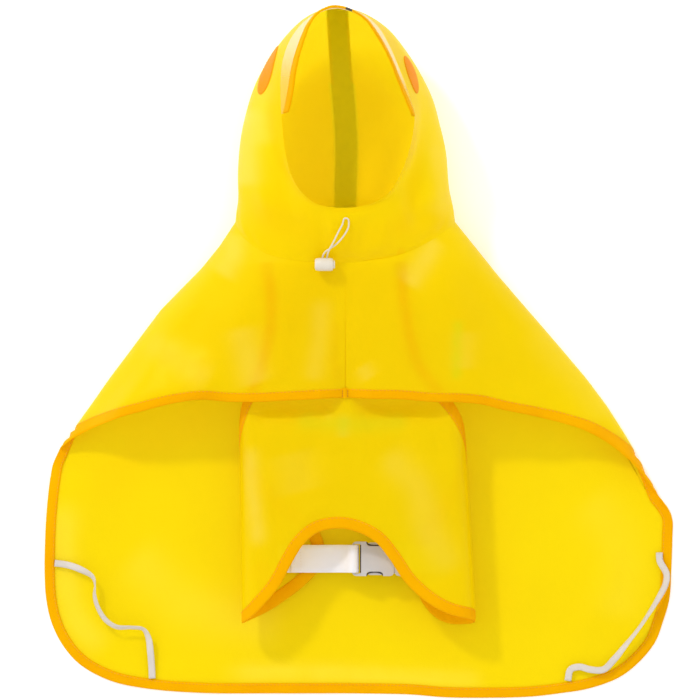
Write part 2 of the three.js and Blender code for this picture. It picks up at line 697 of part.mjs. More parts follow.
// Webbing across the belly: a route of x, z with its end turned back over the bar of the buckle
function webbing(route) {
  const line = curve(route.map(([x, z]) => [x, BUCKLE_Y, z]), 40);
  const half = WEBBING_WIDTH / 2;
  const grid = line.map((p) => [p.clone().add(vec(0, -half, 0)), p.clone().add(vec(0, half, 0))]);
  return gridWall(grid, gridNormals(grid), WEBBING_THICK / 2, WEBBING_THICK / 2);
}
const STRAP_LEFT = [
  [-72, 13.8], [-50, 13.8], [-25, 13.8], [-9, 13.9], [-4.5, 14.2], [-1.2, 14.9], [0.3, 16.8], [0.3, 20.8],
  [-1.2, 23], [-4.5, 23.6], [-8, 21.8], [-12, 18.3], [-19, 15.9], [-34, 15.6], [-60, 15.6],
];
const STRAP_RIGHT = [
  [84, 13.8], [76, 13.8], [64, 13.8], [53.5, 13.9], [49, 14.2], [45.5, 14.9], [43.7, 16.8], [43.7, 20.8],
  [45.5, 23], [49, 23.6], [52.5, 21.8], [56.5, 18.3], [63, 15.9], [72, 15.6],
];

// A closed tube along the drawcord
function cordTube() {
  const path = new THREE.CatmullRomCurve3(DRAWCORD.map((p) => vec(...p)), false, "centripetal");
  const shape = new THREE.Shape().absarc(0, 0, CORD_RADIUS, 0, 2 * Math.PI, true);
  return new THREE.ExtrudeGeometry(shape, { steps: 50, extrudePath: path, curveSegments: 4, bevelEnabled: false });
}

// Hard parts from joined and cut solids
function block(x, y, z, rounding) {
  const [wide, deep] = [x[1] - x[0] - 2 * rounding, y[1] - y[0] - 2 * rounding];
  const flat = wasm.CrossSection.square([wide, deep], true).offset(rounding, "Round", 2, 16);
  return flat.extrude(z[1] - z[0]).translate([(x[0] + x[1]) / 2, (y[0] + y[1]) / 2, z[0]]);
}
function geometryOf(shape) {
  const mesh = shape.getMesh();
  const geometry = new THREE.BufferGeometry();
  geometry.setAttribute("position", new THREE.Float32BufferAttribute(mesh.vertProperties, 3));
  geometry.setIndex(new THREE.Uint32BufferAttribute(mesh.triVerts, 1));
  return geometry.toNonIndexed();
}

function socketBody() {
  const half = BUCKLE_WIDTH / 2;
  const [left, right] = SOCKET_ENDS;
  const body = block([left, right], [-half, half], [-5, 5], 4);
  const slot = block([left + 3, left + 7.6], [-13.2, 13.2], [-6, 6], 0.6);
  const room = block([left + 10, right + 5], [-13.4, 13.4], [-3, 3], 0.6);
  const windows = [-1, 1].map((side) =>
    block([left + 13, left + 28], [side * 15 - 3.5, side * 15 + 3.5], [-6, 6], 3),
  );
  const relief = [-1, 1].map((z) =>
    block([left - 1, left + 8.4], [-17, 17], z < 0 ? [-6, -2.8] : [2.8, 6], 0.5),
  );
  return wasm.Manifold.difference([body, slot, room, ...windows, ...relief]).translate([0, BUCKLE_Y, BUCKLE_Z]);
}

function plugBody() {
  const half = BUCKLE_WIDTH / 2;
  const [left, right] = PLUG_ENDS;
  const base = block([left, right], [-half, half], [-4.5, 4.5], 4);
  const slot = block([right - 7.6, right - 3], [-13.2, 13.2], [-6, 6], 0.6);
  const relief = [-1, 1].map((z) =>
    block([right - 8.4, right + 1], [-17, 17], z < 0 ? [-6, -2.8] : [2.8, 6], 0.5),
  );
  const tongue = block([left - 22, left + 1], [-2.6, 2.6], [-2, 2], 1.2);
  const arms = [-1, 1].flatMap((side) => [
    block([left - 22, left + 1], [side * 10.8 - 2, side * 10.8 + 2], [-2.4, 2.4], 0.6),
    block([left - 24, left - 11], [side * 12.4 - 2.2, side * 12.4 + 2.2], [-2.4, 2.4], 1.8),
  ]);
  const cut = wasm.Manifold.difference([base, slot, ...relief]);
  return wasm.Manifold.union([cut, tongue, ...arms]).translate([0, BUCKLE_Y, BUCKLE_Z]);
}

// Cord lock: a barrel with its push button, and one hole for both ends of the cord
function cordLock() {
  const outline = [
    [0, -9], [4.2, -9], [5.4, -8], [6, -4], [6, 4], [5.4, 7], [3.6, 7.6], [3.6, 9], [0, 9],
  ];
  const barrel = new wasm.CrossSection([outline]).revolve(24).rotate([0, 90, 0]);
  const hole = block([-4.2, 4.2], [-8, 8], [-1.6, 1.6], 1.2);
  return barrel.subtract(hole).translate([-29.3, 76.8, 83.6]);
}

const group = new THREE.Group();
group.name = "dog_raincoat";
function add(name, geometry, colour) {
  const [hex, roughness] = COLOURS[colour];
  const material = new THREE.MeshStandardMaterial({ color: hex, roughness, metalness: 0 });
  const mesh = new THREE.Mesh(geometry, material);
  mesh.name = name;
  group.add(mesh);
}

add("cape", cape, "yellow");
add("cape_binding", capeBinding, "orange");
add("hood", hood, "yellow");
add("hood_tape", tapeWall(), "tape");
for (const [name, place] of Object.entries(PATCHES)) add(name, patchWall(place, PATCH_SIZES[name]), "patch");
add("hood_brim", brimWall(() => 0, (height) => height - BRIM_BINDING - GAP, BRIM_THICK), "film");
add("brim_binding", brimWall((height) => height - BRIM_BINDING, (height) => height, BINDING_THICK), "orange");
add("belly_panel", bellyWall(), "yellow");
add("belly_binding", bellyBindingWall(), "orange");
add("girth_strap_left", webbing(STRAP_LEFT), "white");
add("girth_strap_right", webbing(STRAP_RIGHT), "white");
add("buckle_socket", geometryOf(socketBody()), "grey");
add("buckle_plug", geometryOf(plugBody()), "grey");
for (const [name, route] of Object.entries(ELASTICS)) {
  add(name, ribbon(route, 36, ELASTIC_WIDTH, ELASTIC_THICK), "white");
}
add("drawcord", cordTube(), "white");
add("cord_lock", geometryOf(cordLock()), "ivory");

// The box of the whole garment is centred over the origin and stands on z = 0.
const box = new THREE.Box3().setFromObject(group, true);
const centre = box.getCenter(vec(0, 0, 0));
group.position.set(-centre.x, -centre.y, -box.min.z);
group.updateMatrixWorld(true);

export default group;
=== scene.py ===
"""Dog raincoat laid on its back: cloth, trim, floor, light and camera.

Lengths are in millimetres until they are built. q is a point of the flat cloth, p a point of the plan or of space.
"""

import math

import bmesh
import bpy
import numpy as np
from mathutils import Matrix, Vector, noise


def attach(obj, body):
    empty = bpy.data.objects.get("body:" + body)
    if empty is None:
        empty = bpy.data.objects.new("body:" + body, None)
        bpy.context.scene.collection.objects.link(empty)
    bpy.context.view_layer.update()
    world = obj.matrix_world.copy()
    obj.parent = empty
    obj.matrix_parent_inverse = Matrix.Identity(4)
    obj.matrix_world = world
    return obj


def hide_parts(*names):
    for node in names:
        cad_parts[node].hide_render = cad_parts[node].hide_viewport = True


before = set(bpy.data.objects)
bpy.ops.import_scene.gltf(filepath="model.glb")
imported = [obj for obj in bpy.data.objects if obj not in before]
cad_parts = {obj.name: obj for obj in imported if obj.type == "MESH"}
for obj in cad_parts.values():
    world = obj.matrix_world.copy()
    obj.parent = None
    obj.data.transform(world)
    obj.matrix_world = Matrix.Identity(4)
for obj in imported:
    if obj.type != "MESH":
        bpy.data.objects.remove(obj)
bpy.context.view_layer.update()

# Sizes shared with the solids: x to the right, y to the hood and z up, from the middle of the picture
CLOTH, GAP = 1.2, 0.3
HEM_BINDING, BELLY_BINDING, BINDING_THICK = 9.2, 11.0, 1.9
CORD_RADIUS = 0.75
TAPE_WIDTH = 20.0
TAPE_TAIL = (11, 6, 2)  # how far its flat tail's rings lie past the neck
BRIM_DEPTH, BRIM_BINDING = 32.0, 8.0
WEBBING, WEBBING_THICK = 25.0, 1.4
ELASTIC_WIDE, ELASTIC_THICK = 6.0, 0.8
STITCH_PITCH = 3.2
SEAM_X, NECK_Y, HEM_Y = -11.0, 78.5, -45.0  # the chest seam, from the neck seam to the front hem
NECK_HEIGHT, HEM_HEIGHT, SEAM_DIP, SIDE_SAG = 75.0, 62.0, 8.0, 14.0
WING_HEIGHT = 11.0
WING_ROW = -84.0  # where the belly panel's wings begin
CREASE_DEPTH = 1.5
SHIFT = np.array([-1.189, 2.185, 0.01])  # from these sizes to the frame's origin

# Side folds: neck end, hem end, and how far the cloth bulges past the line at equal steps between them
FOLDS = {
    "left": ((-110, 115), (-268.5, -88), (0, -2, -1.5, 1.5, 4.4, 4, 3.4, 3, 1.6, 0.6, 0)),
    "right": ((88, 115), (269.5, -131.5), (0, 1.4, 2.6, 5, 7.5, 9.8, 11.8, 12, 10, 6.6, 2.2)),
}
# Seams and edges in the plan: x, y
NECK_FRONT = [
    (-110, 115), (-104, 103), (-93, 93.5), (-81.5, 86.5), (-61, 81.5), (-38, 79), (-11, 78.5),
    (11, 80.5), (37.5, 85.5), (60, 95), (76, 105), (88, 115),
]
NECK_BACK = [
    (-110, 115), (-101, 119), (-80, 124), (-50, 128.5), (-11, 130), (30, 128.5), (58, 124), (79, 119), (88, 115),
]
HEM_LEFT = [
    (-11, -43), (-34, -44), (-61, -45.5), (-88, -47), (-115, -47), (-140, -45.5), (-160.5, -48), (-178.5, -52),
    (-193, -56), (-211, -60.5), (-229, -66.5), (-244.5, -73), (-258, -80), (-268.5, -88),
]
HEM_RIGHT = [
    (-11, -43), (11, -44), (38, -44.5), (65, -47), (92, -48), (110, -50), (128, -55), (155, -61.5),
    (182, -69.5), (205, -79), (224.5, -91), (245, -107), (260.5, -122.5), (269.5, -131.5),
]
HEM_BACK = [
    (-268.5, -88), (-274, -101), (-277, -117), (-280, -144), (-281.5, -171), (-282, -202.5), (-280.5, -225),
    (-276, -245), (-266, -265.5), (-250, -283.5), (-223, -298), (-191, -305), (-142, -309), (-70, -309.5),
    (-7, -309.5), (47, -310.5), (79, -313), (115, -313.5), (155, -312.5), (182, -309.5), (209, -305),
    (236, -295), (254, -281), (268, -263.5), (275, -245), (280.5, -225), (282, -198), (282.5, -171),
    (282, -151), (276, -139.5), (269.5, -131.5),
]
# Rings of the hood from the neck up: front point, back point, and the x of its two sides
HOOD_RINGS = [
    ((-10, 90, 84), (-10, 190, -2), (-107, 83)),
    ((-8.5, 103, 90), (-14, 243, -1), (-106.5, 80)),
    ((-7, 112.5, 94), (-17, 287, 22), (-101, 71)),
    ((-6, 120.5, 97), (-18, 306, 60), (-88.5, 58)),
]
FACE_EDGE = [
    (-18, 307), (-33, 304), (-48, 294.5), (-60, 279), (-67, 260), (-69, 240), (-68.5, 214), (-65.8, 184),
    (-60.5, 160), (-51, 142.5), (-36, 131), (-12, 127.5), (11, 131), (27.5, 140.5), (38.5, 158), (48, 185),
    (51, 211), (46.5, 229), (40, 246), (29, 272), (17.5, 291), (2, 302.5), (-18, 307),
]
FACE_HEIGHTS = (103, 98)  # at the crown and at the chin
BRIM_EDGE = [
    (-61.5, 213.5), (-58, 229.5), (-54.5, 253), (-48.5, 275.5), (-42, 293), (-34, 303), (-21, 308), (-5, 304),
    (7, 296), (17.5, 281), (27.5, 263), (35.5, 243), (42.5, 225.5), (49, 210.5),
]
BELLY_EDGE = [
    (-82, 79), (-78, 50), (-78, 21.5), (-84, -8), (-93, -33.5), (-103, -52), (-117, -81), (-138, -113), (-161, -140),
    (-180, -156), (-191, -168), (-194, -181), (-189, -195), (-178, -207), (-161, -220), (-140, -233), (-116, -240.5),
    (-100, -236), (-87, -224), (-74, -208), (-64.5, -190), (-52.5, -171), (-37.5, -159), (-17.5, -155),
    (1.5, -158.5), (19, -168), (33, -184.5), (46.5, -204.5), (64.5, -221.5), (83, -232), (106, -237.5), (128, -241),
    (146, -241), (158, -235), (167, -221), (171, -204), (170, -186), (158, -164), (142, -143), (122, -114), (104, -81),
    (88, -57), (68, -33), (53, -10), (46, 16), (41, 50), (39, 80),
]
# Patches: middle in the plan, and width and length
PATCHES = {"patch_left": (-81, 252), "patch_right": (49, 248)}
PATCH_SIZES = {"patch_left": (28, 47), "patch_right": (22, 36)}
# Routes of the elastics: x, y, z and turn in degrees
ELASTICS = {
    "leg_elastic_left": [
        (-273, -192, 4.6, 0), (-262, -193.5, 4.6, 0), (-250, -197.5, 8, 10), (-238.5, -204.5, 12, 45),
        (-236.5, -212, 13, 80), (-237, -220, 13, 55), (-234.5, -230.5, 13, 50), (-227, -243, 12, 45),
        (-217, -249.5, 11, 50), (-204, -250, 10, 60), (-193, -251.5, 10, 60), (-188.5, -259, 8, 25),
        (-186.5, -273, 6, 0), (-185.5, -285, 4, 0), (-185, -296, 3.2, 0),
    ],
    "leg_elastic_right": [
        (272, -182.5, 3.2, 0), (272.5, -190, 4.4, 10), (278.5, -202, 7, 25), (277.5, -211, 9, 30),
        (272, -222, 10, 50), (264, -235, 10, 60), (254, -250, 10, 62), (241.5, -266, 9, 55), (231, -279, 8, 35),
        (221.5, -288, 7, 0), (210, -288, 6, 0), (200, -285.5, 5, 0), (192, -288, 4, 0), (189.5, -298, 3.2, 0),
    ],
}
# Route of the drawcord's loop from the cord lock and back: x, y, z
DRAWCORD = [
    (-31.2, 77, 83.6), (-31.2, 84, 83.6), (-29, 88, 86.6), (-24, 91.5, 89.4), (-18, 96, 91.7), (-12, 103, 93.9),
    (-8, 111, 96.1), (-8.6, 117.5, 97.5), (-11.6, 118, 97.5), (-13.6, 112.5, 96.3), (-16.6, 107, 94.9),
    (-19.6, 101, 94.6), (-22.6, 95, 93.2), (-25.6, 89.5, 90.4), (-27.2, 84, 83.8), (-27.4, 77, 83.6),
]
BUCKLE_Y, BUCKLE_Z, SOCKET_LEFT = -188.0, 18.8, -5.0
# Routes of the webbing: x and z, round the buckle's bar and back
STRAP_LEFT = [
    (-72, 13.8), (-50, 13.8), (-25, 13.8), (-9, 13.9), (-4.5, 14.2), (-1.2, 14.9), (0.3, 16.8), (0.3, 20.8),
    (-1.2, 23), (-4.5, 23.6), (-8, 21.8), (-12, 18.3), (-19, 15.9), (-34, 15.6), (-60, 15.6),
]
STRAP_RIGHT = [
    (84, 13.8), (76, 13.8), (64, 13.8), (53.5, 13.9), (49, 14.2), (45.5, 14.9), (43.7, 16.8), (43.7, 20.8),
    (45.5, 23), (49, 23.6), (52.5, 21.8), (56.5, 18.3), (63, 15.9), (72, 15.6),
]


# Camera: straight above, far off, with the photograph's frame of 700 pixels at 0.9 mm each
CAMERA_HEIGHT, CAMERA_X, PICTURE_WIDTH = 20.0, -6.75, 0.63


def linked(name, data):
    piece = bpy.data.objects.new(name, data)
    bpy.context.collection.objects.link(piece)
    return piece


camera_data = bpy.data.cameras.new("camera")
camera_data.sensor_width = 36
camera_data.lens = 36 * (CAMERA_HEIGHT - 0.03) / PICTURE_WIDTH
camera_data.clip_end = 40
camera = linked("camera", camera_data)
camera.location = ((CAMERA_X + SHIFT[0]) / 1000, SHIFT[1] / 1000, CAMERA_HEIGHT)
bpy.context.scene.camera = camera


def mix(a, b, t):
    return a + (b - a) * t


def smooth(x):
    t = np.clip(x, 0, 1)
    return t * t * (3 - 2 * t)


def norm(v):
    return np.linalg.norm(v, axis=-1)


def unit(v):
    return v / np.maximum(norm(v), 1e-9)[..., None]


def table(values, t):
    """A value from a list at a share of its length."""
    return np.interp(np.clip(t, 0, 1) * (len(values) - 1), np.arange(len(values)), values)


def lengths(line):
    """Distances along a line to each of its points."""
    return np.concatenate([[0], np.cumsum(norm(np.diff(line, axis=0)))])


def sampled(line, places, at):
    """Points of a line whose own points have the given places."""
    return np.stack([np.interp(at, places, values) for values in line.T], axis=-1)


def along(line, distance):
    """Points of a line at distances along it."""
    return sampled(line, lengths(line), distance)


def step_at(line, share):
    """Points of a line at shares of its steps."""
    return sampled(line, np.arange(len(line)), np.clip(share, 0, 1) * (len(line) - 1))


def even(line, steps):
    """Equal steps along a line."""
    return along(line, np.linspace(0, lengths(line)[-1], steps + 1))


def spline(points, fine=24):
    """A centripetal Catmull-Rom curve through points."""
    p = np.array(points, float)
    p = np.vstack([2 * p[0] - p[1], p, 2 * p[-1] - p[-2]])
    out = []
    for i in range(1, len(p) - 2):
        a, b, c, d = p[i - 1 : i + 3]
        ga, gb, gc = (max(norm(v) ** 0.5, 1e-4) for v in (b - a, c - b, d - c))
        start = ((b - a) / ga - (c - a) / (ga + gb) + (c - b) / gb) * gb
        end = ((c - b) / gb - (d - b) / (gb + gc) + (d - c) / gc) * gb
        for t in np.linspace(0, 1, fine, endpoint=False):
            out.append(
                (2 * t**3 - 3 * t**2 + 1) * b + (t**3 - 2 * t**2 + t) * start
                + (3 * t**2 - 2 * t**3) * c + (t**3 - t**2) * end
            )
    out.append(p[-2])
    return np.array(out)


def curve(points, steps):
    """Equal steps along the curve through points."""
    return even(spline(points), steps)


def ways_of(line):
    """Unit directions along a line."""
    return unit(np.vstack([line[1] - line[0], line[2:] - line[:-2], line[-1] - line[-2]]))


def moved(line, distance):
    """A flat line moved to its left."""
    ways = ways_of(line)
    return line + np.stack([-ways[:, 1], ways[:, 0]], axis=1) * distance


# Folds between the back and the fronts
class Fold:
    """One side fold: a straight line from neck to hem, and how far the cloth bulges out past it."""

    def __init__(self, neck, hem, bulge):
        self.start = np.array(neck, float)
        way = np.array(hem, float) - self.start
        self.length = norm(way)
        self.way = way / self.length
        self.inward = np.array([self.way[1], -self.way[0]])
        if self.inward[0] * (SEAM_X - neck[0]) < 0:
            self.inward = -self.inward
        self.bulge = bulge

    def distance(self, p):
        """How far points lie in from the fold: below 0 on the flat cloth of the front."""
        return (p - self.start) @ self.inward

    def share(self, p):
        return (p - self.start) @ self.way / self.length

    def mirrored(self, p):
        return p - 2 * self.distance(p)[..., None] * self.inward


LEFT = Fold(*FOLDS["left"])
RIGHT = Fold(*FOLDS["right"])


def rounded(x, power):
    """A rise from 0 to 1 that starts steep and ends flat."""
    return (1 - (1 - np.clip(x, 0, 1)) ** power) ** (1 / power)


def fold_radius(share):
    """Height of the folds' edge, from the neck to the hem."""
    return table((34, 24, 15, 10, 7, 5.5, 4.5), share)


def fold_reach(share):
    """How far in the back curves down from the folds to lie flat."""
    return table((60, 40, 24, 14, 9, 6, 5), share)


def by_side(p, value):
    """value(fold) for the fold on each point's side of the chest seam."""
    return np.where(p[..., 0] < SEAM_X, value(LEFT), value(RIGHT))


def chest_height(p, dip):
    """Height of the fronts over the plan; dip(away) lowers them by the chest seam."""
    down = np.clip((NECK_Y - p[..., 1]) / (NECK_Y - HEM_Y), 0, 1.4)
    away = np.abs(p[..., 0] - SEAM_X)
    plateau = mix(NECK_HEIGHT, HEM_HEIGHT, down) - SIDE_SAG * np.minimum(down, 1) * smooth((away - 60) / 110)
    radius = by_side(p, lambda fold: fold_radius(fold.share(p)))
    rise = by_side(p, lambda fold: rounded(fold.distance(p) / 72, 1.7))
    return radius + (plateau - radius) * rise - dip(away) * np.minimum(down, 1)


def front_dip(away):
    """The shallow valley at the chest seam."""
    return SEAM_DIP * np.exp(-((away / 16) ** 2))


def margin_lift(p):
    """The back's left margin, lifted off the surface."""
    x, y = p[..., 0], p[..., 1]
    return 9 * smooth((-x - 205) / 75) * smooth((-y - 100) / 30) * smooth((y + 205) / 60)


# Soft creases: points of the line, half width, and height, negative for a trough
FRONT_CREASES = [
    ([(-62, 70), (-66, 30), (-70, -10), (-84, -40)], 9, 1.2),
    ([(-40, 60), (-34, 20), (-40, -30)], 10, -1.0),
    ([(-22, -8), (-15, -42)], 6, 1.2),
    ([(34, 72), (44, 30), (52, -20)], 9, 1.1),
    ([(18, 60), (16, 10), (20, -30)], 10, -0.9),
    ([(-130, 60), (-170, 10), (-205, -45)], 12, 1.6),
    ([(-112, 80), (-150, 20), (-178, -40)], 10, -1.3),
    ([(-96, 70), (-110, 20), (-126, -36)], 12, 1.0),
    ([(84, 88), (120, 30), (150, -40)], 13, -1.2),
    ([(66, 80), (92, 20), (108, -36)], 12, 1.2),
    ([(120, 70), (170, 0), (214, -70)], 12, 1.4),
    ([(-185, 6), (-160, -6), (-120, -10)], 9, 0.9),
    ([(140, 20), (170, -10), (190, -50)], 8, -0.8),
    ([(-262, -82), (-228, -62), (-190, -46), (-146, -34), (-112, -30)], 25, 8.0),
    ([(-60, -36), (-46, -42), (-32, -38)], 8, -1.0),
    ([(84, -20), (128, -44), (168, -58)], 14, 1.8),
]
BACK_CREASES = [
    ([(-10, -262), (-13, -306)], 3, 0.8),
    ([(-268, -150), (-240, -210), (-215, -262)], 10, 1.2),
    ([(-240, -196), (-225, -230), (-190, -262)], 7, 0.9),
    ([(-180, -120), (-140, -190), (-120, -260)], 18, 1.2),
    ([(120, -90), (150, -180), (140, -280)], 18, 1.2),
    ([(236, -160), (222, -220), (190, -270)], 12, 1.4),
    ([(60, 60), (80, -60), (100, -200)], 16, 1.2),
    ([(-90, 80), (-110, -40), (-100, -160)], 16, 1.2),
    ([(-30, 90), (-20, -20), (-24, -120)], 14, 1.0),
]
HOOD_CREASES = [
    ([(44, 170), (50, 130), (62, 104)], 9, -2.0),
    ([(60, 200), (66, 150), (72, 118)], 9, 1.4),
    ([(-66, 180), (-64, 140), (-50, 96)], 10, -1.6),
    ([(-88, 200), (-86, 150), (-78, 104)], 10, 1.3),
    ([(-36, 128), (-32, 100), (-30, 84)], 5, -0.9),
    ([(-24, 124), (-22, 100), (-24, 84)], 4, 0.8),
    ([(8, 126), (6, 104), (2, 84)], 6, -0.9),
    ([(24, 126), (24, 104), (20, 86)], 6, 0.8),
    ([(-95, 150), (-70, 128), (-40, 118)], 8, 0.9),
]
BELLY_CREASES = [
    ([(-6, -62), (6, -84), (10, -110)], 7, 0.9),
    ([(-36, -60), (-44, -100), (-60, -150)], 10, -0.9),
    ([(30, -60), (44, -110), (60, -160)], 11, -0.9),
    ([(-80, -100), (-84, -160), (-86, -215)], 7, 0.9),
    ([(84, -100), (88, -160), (92, -215)], 7, 0.8),
    ([(-20, -140), (-40, -146), (-62, -172)], 6, 0.7),
]


def creased(p, creases, fade=0.3):
    """Height of the creases at points of the plan."""
    total = np.zeros(p.shape[:-1])
    flat = p.reshape(-1, 2)
    for line, width, height in creases:
        path = spline(line, 10)
        near = np.full(len(flat), 1e9)
        share = np.zeros(len(flat))
        for i, (a, b) in enumerate(zip(path[:-1], path[1:])):
            way = b - a
            t = np.clip((flat - a) @ way / (way @ way), 0, 1)
            away = norm(flat - a - t[:, None] * way)
            closer = away < near
            near = np.where(closer, away, near)
            share = np.where(closer, (i + t) / (len(path) - 1), share)
        ends = smooth(share / fade) * smooth((1 - share) / fade)
        total += (height * ends * np.exp(-((near / width) ** 2))).reshape(total.shape)
    return total


def roughness_at(x, y, z):
    """Noise from -1 to 1."""
    return noise.noise(Vector((x, y, z)))


def uneven(p, scale, height, seed):
    """Slow unevenness over the plan."""
    flat = p.reshape(-1, p.shape[-1])
    values = [roughness_at(x / scale, y / scale, seed) for x, y in flat]
    return height * np.array(values).reshape(p.shape[:-1])


def cape_surface(q, folds=True):
    """The cape's outside from its flat cloth."""
    left, right = LEFT.distance(q), RIGHT.distance(q)
    out = np.zeros(q.shape[:-1] + (3,))
    for fold, mine in ((LEFT, left < right), (RIGHT, left >= right)):
        d = fold.distance(q)
        front = d < 0
        plan = np.where(front[..., None], fold.mirrored(q), q)
        height = np.where(
            front,
            chest_height(plan, front_dip),
            fold_radius(fold.share(q)) * (1 - rounded(d / fold_reach(fold.share(q)), 2)) + margin_lift(q),
        )
        if folds:
            calm = smooth((fold.distance(plan) - 4) / 22)
            seam = smooth((np.abs(plan[..., 0] - SEAM_X) - 0.5) / 9)
            rise = np.where(
                front,
                (creased(plan, FRONT_CREASES) * CREASE_DEPTH + uneven(plan, 38, 1.8, 3.1)) * calm * seam,
                np.maximum(creased(plan, BACK_CREASES) * 1.4 + uneven(plan, 45, 1.2, 7.7), 0) * calm,
            )
            height = height + rise
        bulge = table(fold.bulge, fold.share(plan)) * np.exp(-fold.distance(plan) / 45)
        bulge = bulge * smooth(np.abs(plan[..., 0] - SEAM_X) / 14)
        plan = plan - bulge[..., None] * fold.inward
        out[mine] = np.concatenate([plan, height[..., None]], axis=-1)[mine]
    return out


def normals_of(surface, q, step=1.0):
    dx, dy = np.array([step, 0]), np.array([0, step])
    return unit(np.cross(surface(q + dx) - surface(q - dx), surface(q + dy) - surface(q - dy)))


def cape_normal(q):
    return -normals_of(cape_surface, q)


def grid_normals(grid):
    return unit(np.cross(np.gradient(grid, axis=1), np.gradient(grid, axis=0)))


# Marks in the cloth: line, half width, and the strengths of three tints: orange, where the binding beneath shows
# through and as painted shade; pale, as painted highlights; and green tint
CAPE_MARKS = [
    ([(-82, 79), (-78, 50), (-78, 21.5), (-84, -8), (-93, -33.5), (-96, -44)], 5, (0.34, 0, 0)),
    ([(39, 80), (41, 50), (46, 16), (53, -10), (68, -33), (76, -44)], 5, (0.3, 0, 0)),
    # Painted shade beside the chest seam
    ([(-19.6, 31), (-20.8, -12), (-16, -29)], 4.5, (0.16, 0, 0)),
    # Painted highlights on the chest, the shoulders and the fronts
    ([(-31.6, 50), (-35, 2), (-40, -31)], 8, (0, 0.3, 0)),
    ([(-104, 24), (-97, -12), (-90, -33)], 12, (0, 0.42, 0)),
    ([(-108, 107), (-113, 86), (-125, 66)], 10, (0, 0.7, 0)),
    ([(72, 102), (58, 78), (43, 57)], 9, (0, 0.6, 0)),
    ([(-190, 10), (-160, -10), (-130, -30)], 12, (0, 0.3, 0)),
    ([(3, -14), (12, -26)], 7, (0, 0.35, 0)),
    # Painted shade along the neck seam
    ([(-60, 110), (-11, 97), (40, 108)], 12, (0.1, 0, 0)),
    ([(90, 30), (88, -2), (88, -31)], 5, (0, 0, 0.55)),
    # Painted highlights on the right front
    ([(96, 18), (94, -20)], 9, (0, 0.25, 0)),
    ([(150, 20), (190, -30), (220, -70)], 12, (0, 0.2, 0)),
]
BACK_MARKS = [
    ([(-14, 136), (-11, 114)], 10, (0, 0, 0.55)),
    # Painted highlights along the bottom hem and the left margin
    ([(-130, -291), (-40, -291), (60, -296), (120, -298)], 8, (0, 0.4, 0)),
    ([(-262, -130), (-264, -190), (-255, -240), (-225, -275)], 12, (0, 0.35, 0)),
    # Painted shadow of the left front's hem on the back
    ([(-120, -60), (-190, -90), (-245, -130)], 16, (0.12, 0, 0)),
    # Painted highlights in broad patches
    ([(200, -130), (240, -180), (230, -250)], 20, (0, 0.15, 0)),
    ([(-210, -180), (-150, -230), (-60, -250)], 22, (0, 0.2, 0)),
]
HOOD_MARKS = [
    # Painted highlights on the hood's left side
    ([(-96, 222), (-102, 196), (-103, 168), (-102, 143)], 14, (0, 0.8, 0)),
    ([(-84, 246), (-88, 215), (-84, 180)], 9, (0, 0.4, 0)),
    # Painted shade: the hood's lower front, the neck seam, a pucker in it and a fold on the right
    ([(-106, 128), (-70, 118), (-10, 100), (60, 112), (84, 128)], 17, (0.15, 0, 0)),
    ([(-50, 84), (0, 78), (40, 86)], 9, (0.12, 0, 0)),
    ([(36, 88), (42, 86)], 4, (0.5, 0, 0)),
    ([(52, 205), (50, 150), (38, 96)], 8, (0.14, 0, 0)),
    # Painted highlight on the hood's right side
    ([(70, 190), (76, 150), (72, 118)], 9, (0, 0.2, 0)),
]
BELLY_MARKS = [
    ([(-60, -62), (-10, -67), (52, -63)], 8, (0, 0, 0.45)),
    # Painted highlights: a glint below the chest seam, the left fold and pale patches
    ([(-12, -58), (-13, -80)], 5, (0, 0.3, 0.3)),
    ([(-97, -84), (-95, -130), (-88, -180)], 7, (0, 0.6, 0)),
    ([(20, -90), (52, -120), (64, -160), (88, -205)], 13, (0, 0.3, 0)),
    ([(-60, -90), (-50, -130)], 18, (0, 0.15, 0)),
    ([(80, -44), (96, -58), (98, -72)], 6, (0.35, 0, 0)),
    ([(-90, -190), (-78, -215)], 9, (0.12, 0, 0)),
    # Painted shadows of the front hem on the two hollows below it
    ([(-76, -50), (-48, -55), (-18, -50)], 6, (0.2, 0, 0)),
    ([(0, -50), (26, -55), (58, -50)], 6, (0.2, 0, 0)),
]


def marked(p, marks):
    """The three marks' strengths at points of the plan."""
    out = np.zeros(p.shape[:-1] + (3,))
    for line, width, strength in marks:
        shape = creased(p, [(line, width, 1.0)], 0.15)
        patchy = 1 + uneven(p, width * 1.6, 0.35, width + 0.3)
        out += np.clip(shape * patchy, 0, 1)[..., None] * np.array(strength)
    return np.clip(out, 0, 1)


def tone(piece, values):
    """Stores the marks' strengths, and a lightness where there is a fourth value, on the points."""
    layer = piece.data.color_attributes.new("tone", "FLOAT_COLOR", "POINT")
    flat = np.ones((len(piece.data.vertices), 4))
    flat[:, : values.shape[-1]] = values.reshape(-1, values.shape[-1])
    layer.data.foreach_set("color", flat.ravel())


# Building
UP = np.array([0, 0, 1.0])


def grid_faces(rows, columns):
    return [
        (i * columns + j, i * columns + j + 1, (i + 1) * columns + j + 1, (i + 1) * columns + j)
        for i in range(rows - 1)
        for j in range(columns - 1)
    ]


def ring_faces(rings, sides):
    """Faces of a closed tube of rings, with both ends capped."""
    faces = [
        (i * sides + j, i * sides + (j + 1) % sides, (i + 1) * sides + (j + 1) % sides, (i + 1) * sides + j)
        for i in range(rings - 1)
        for j in range(sides)
    ]
    return [*faces, tuple(range(sides))[::-1], tuple((rings - 1) * sides + j for j in range(sides))]


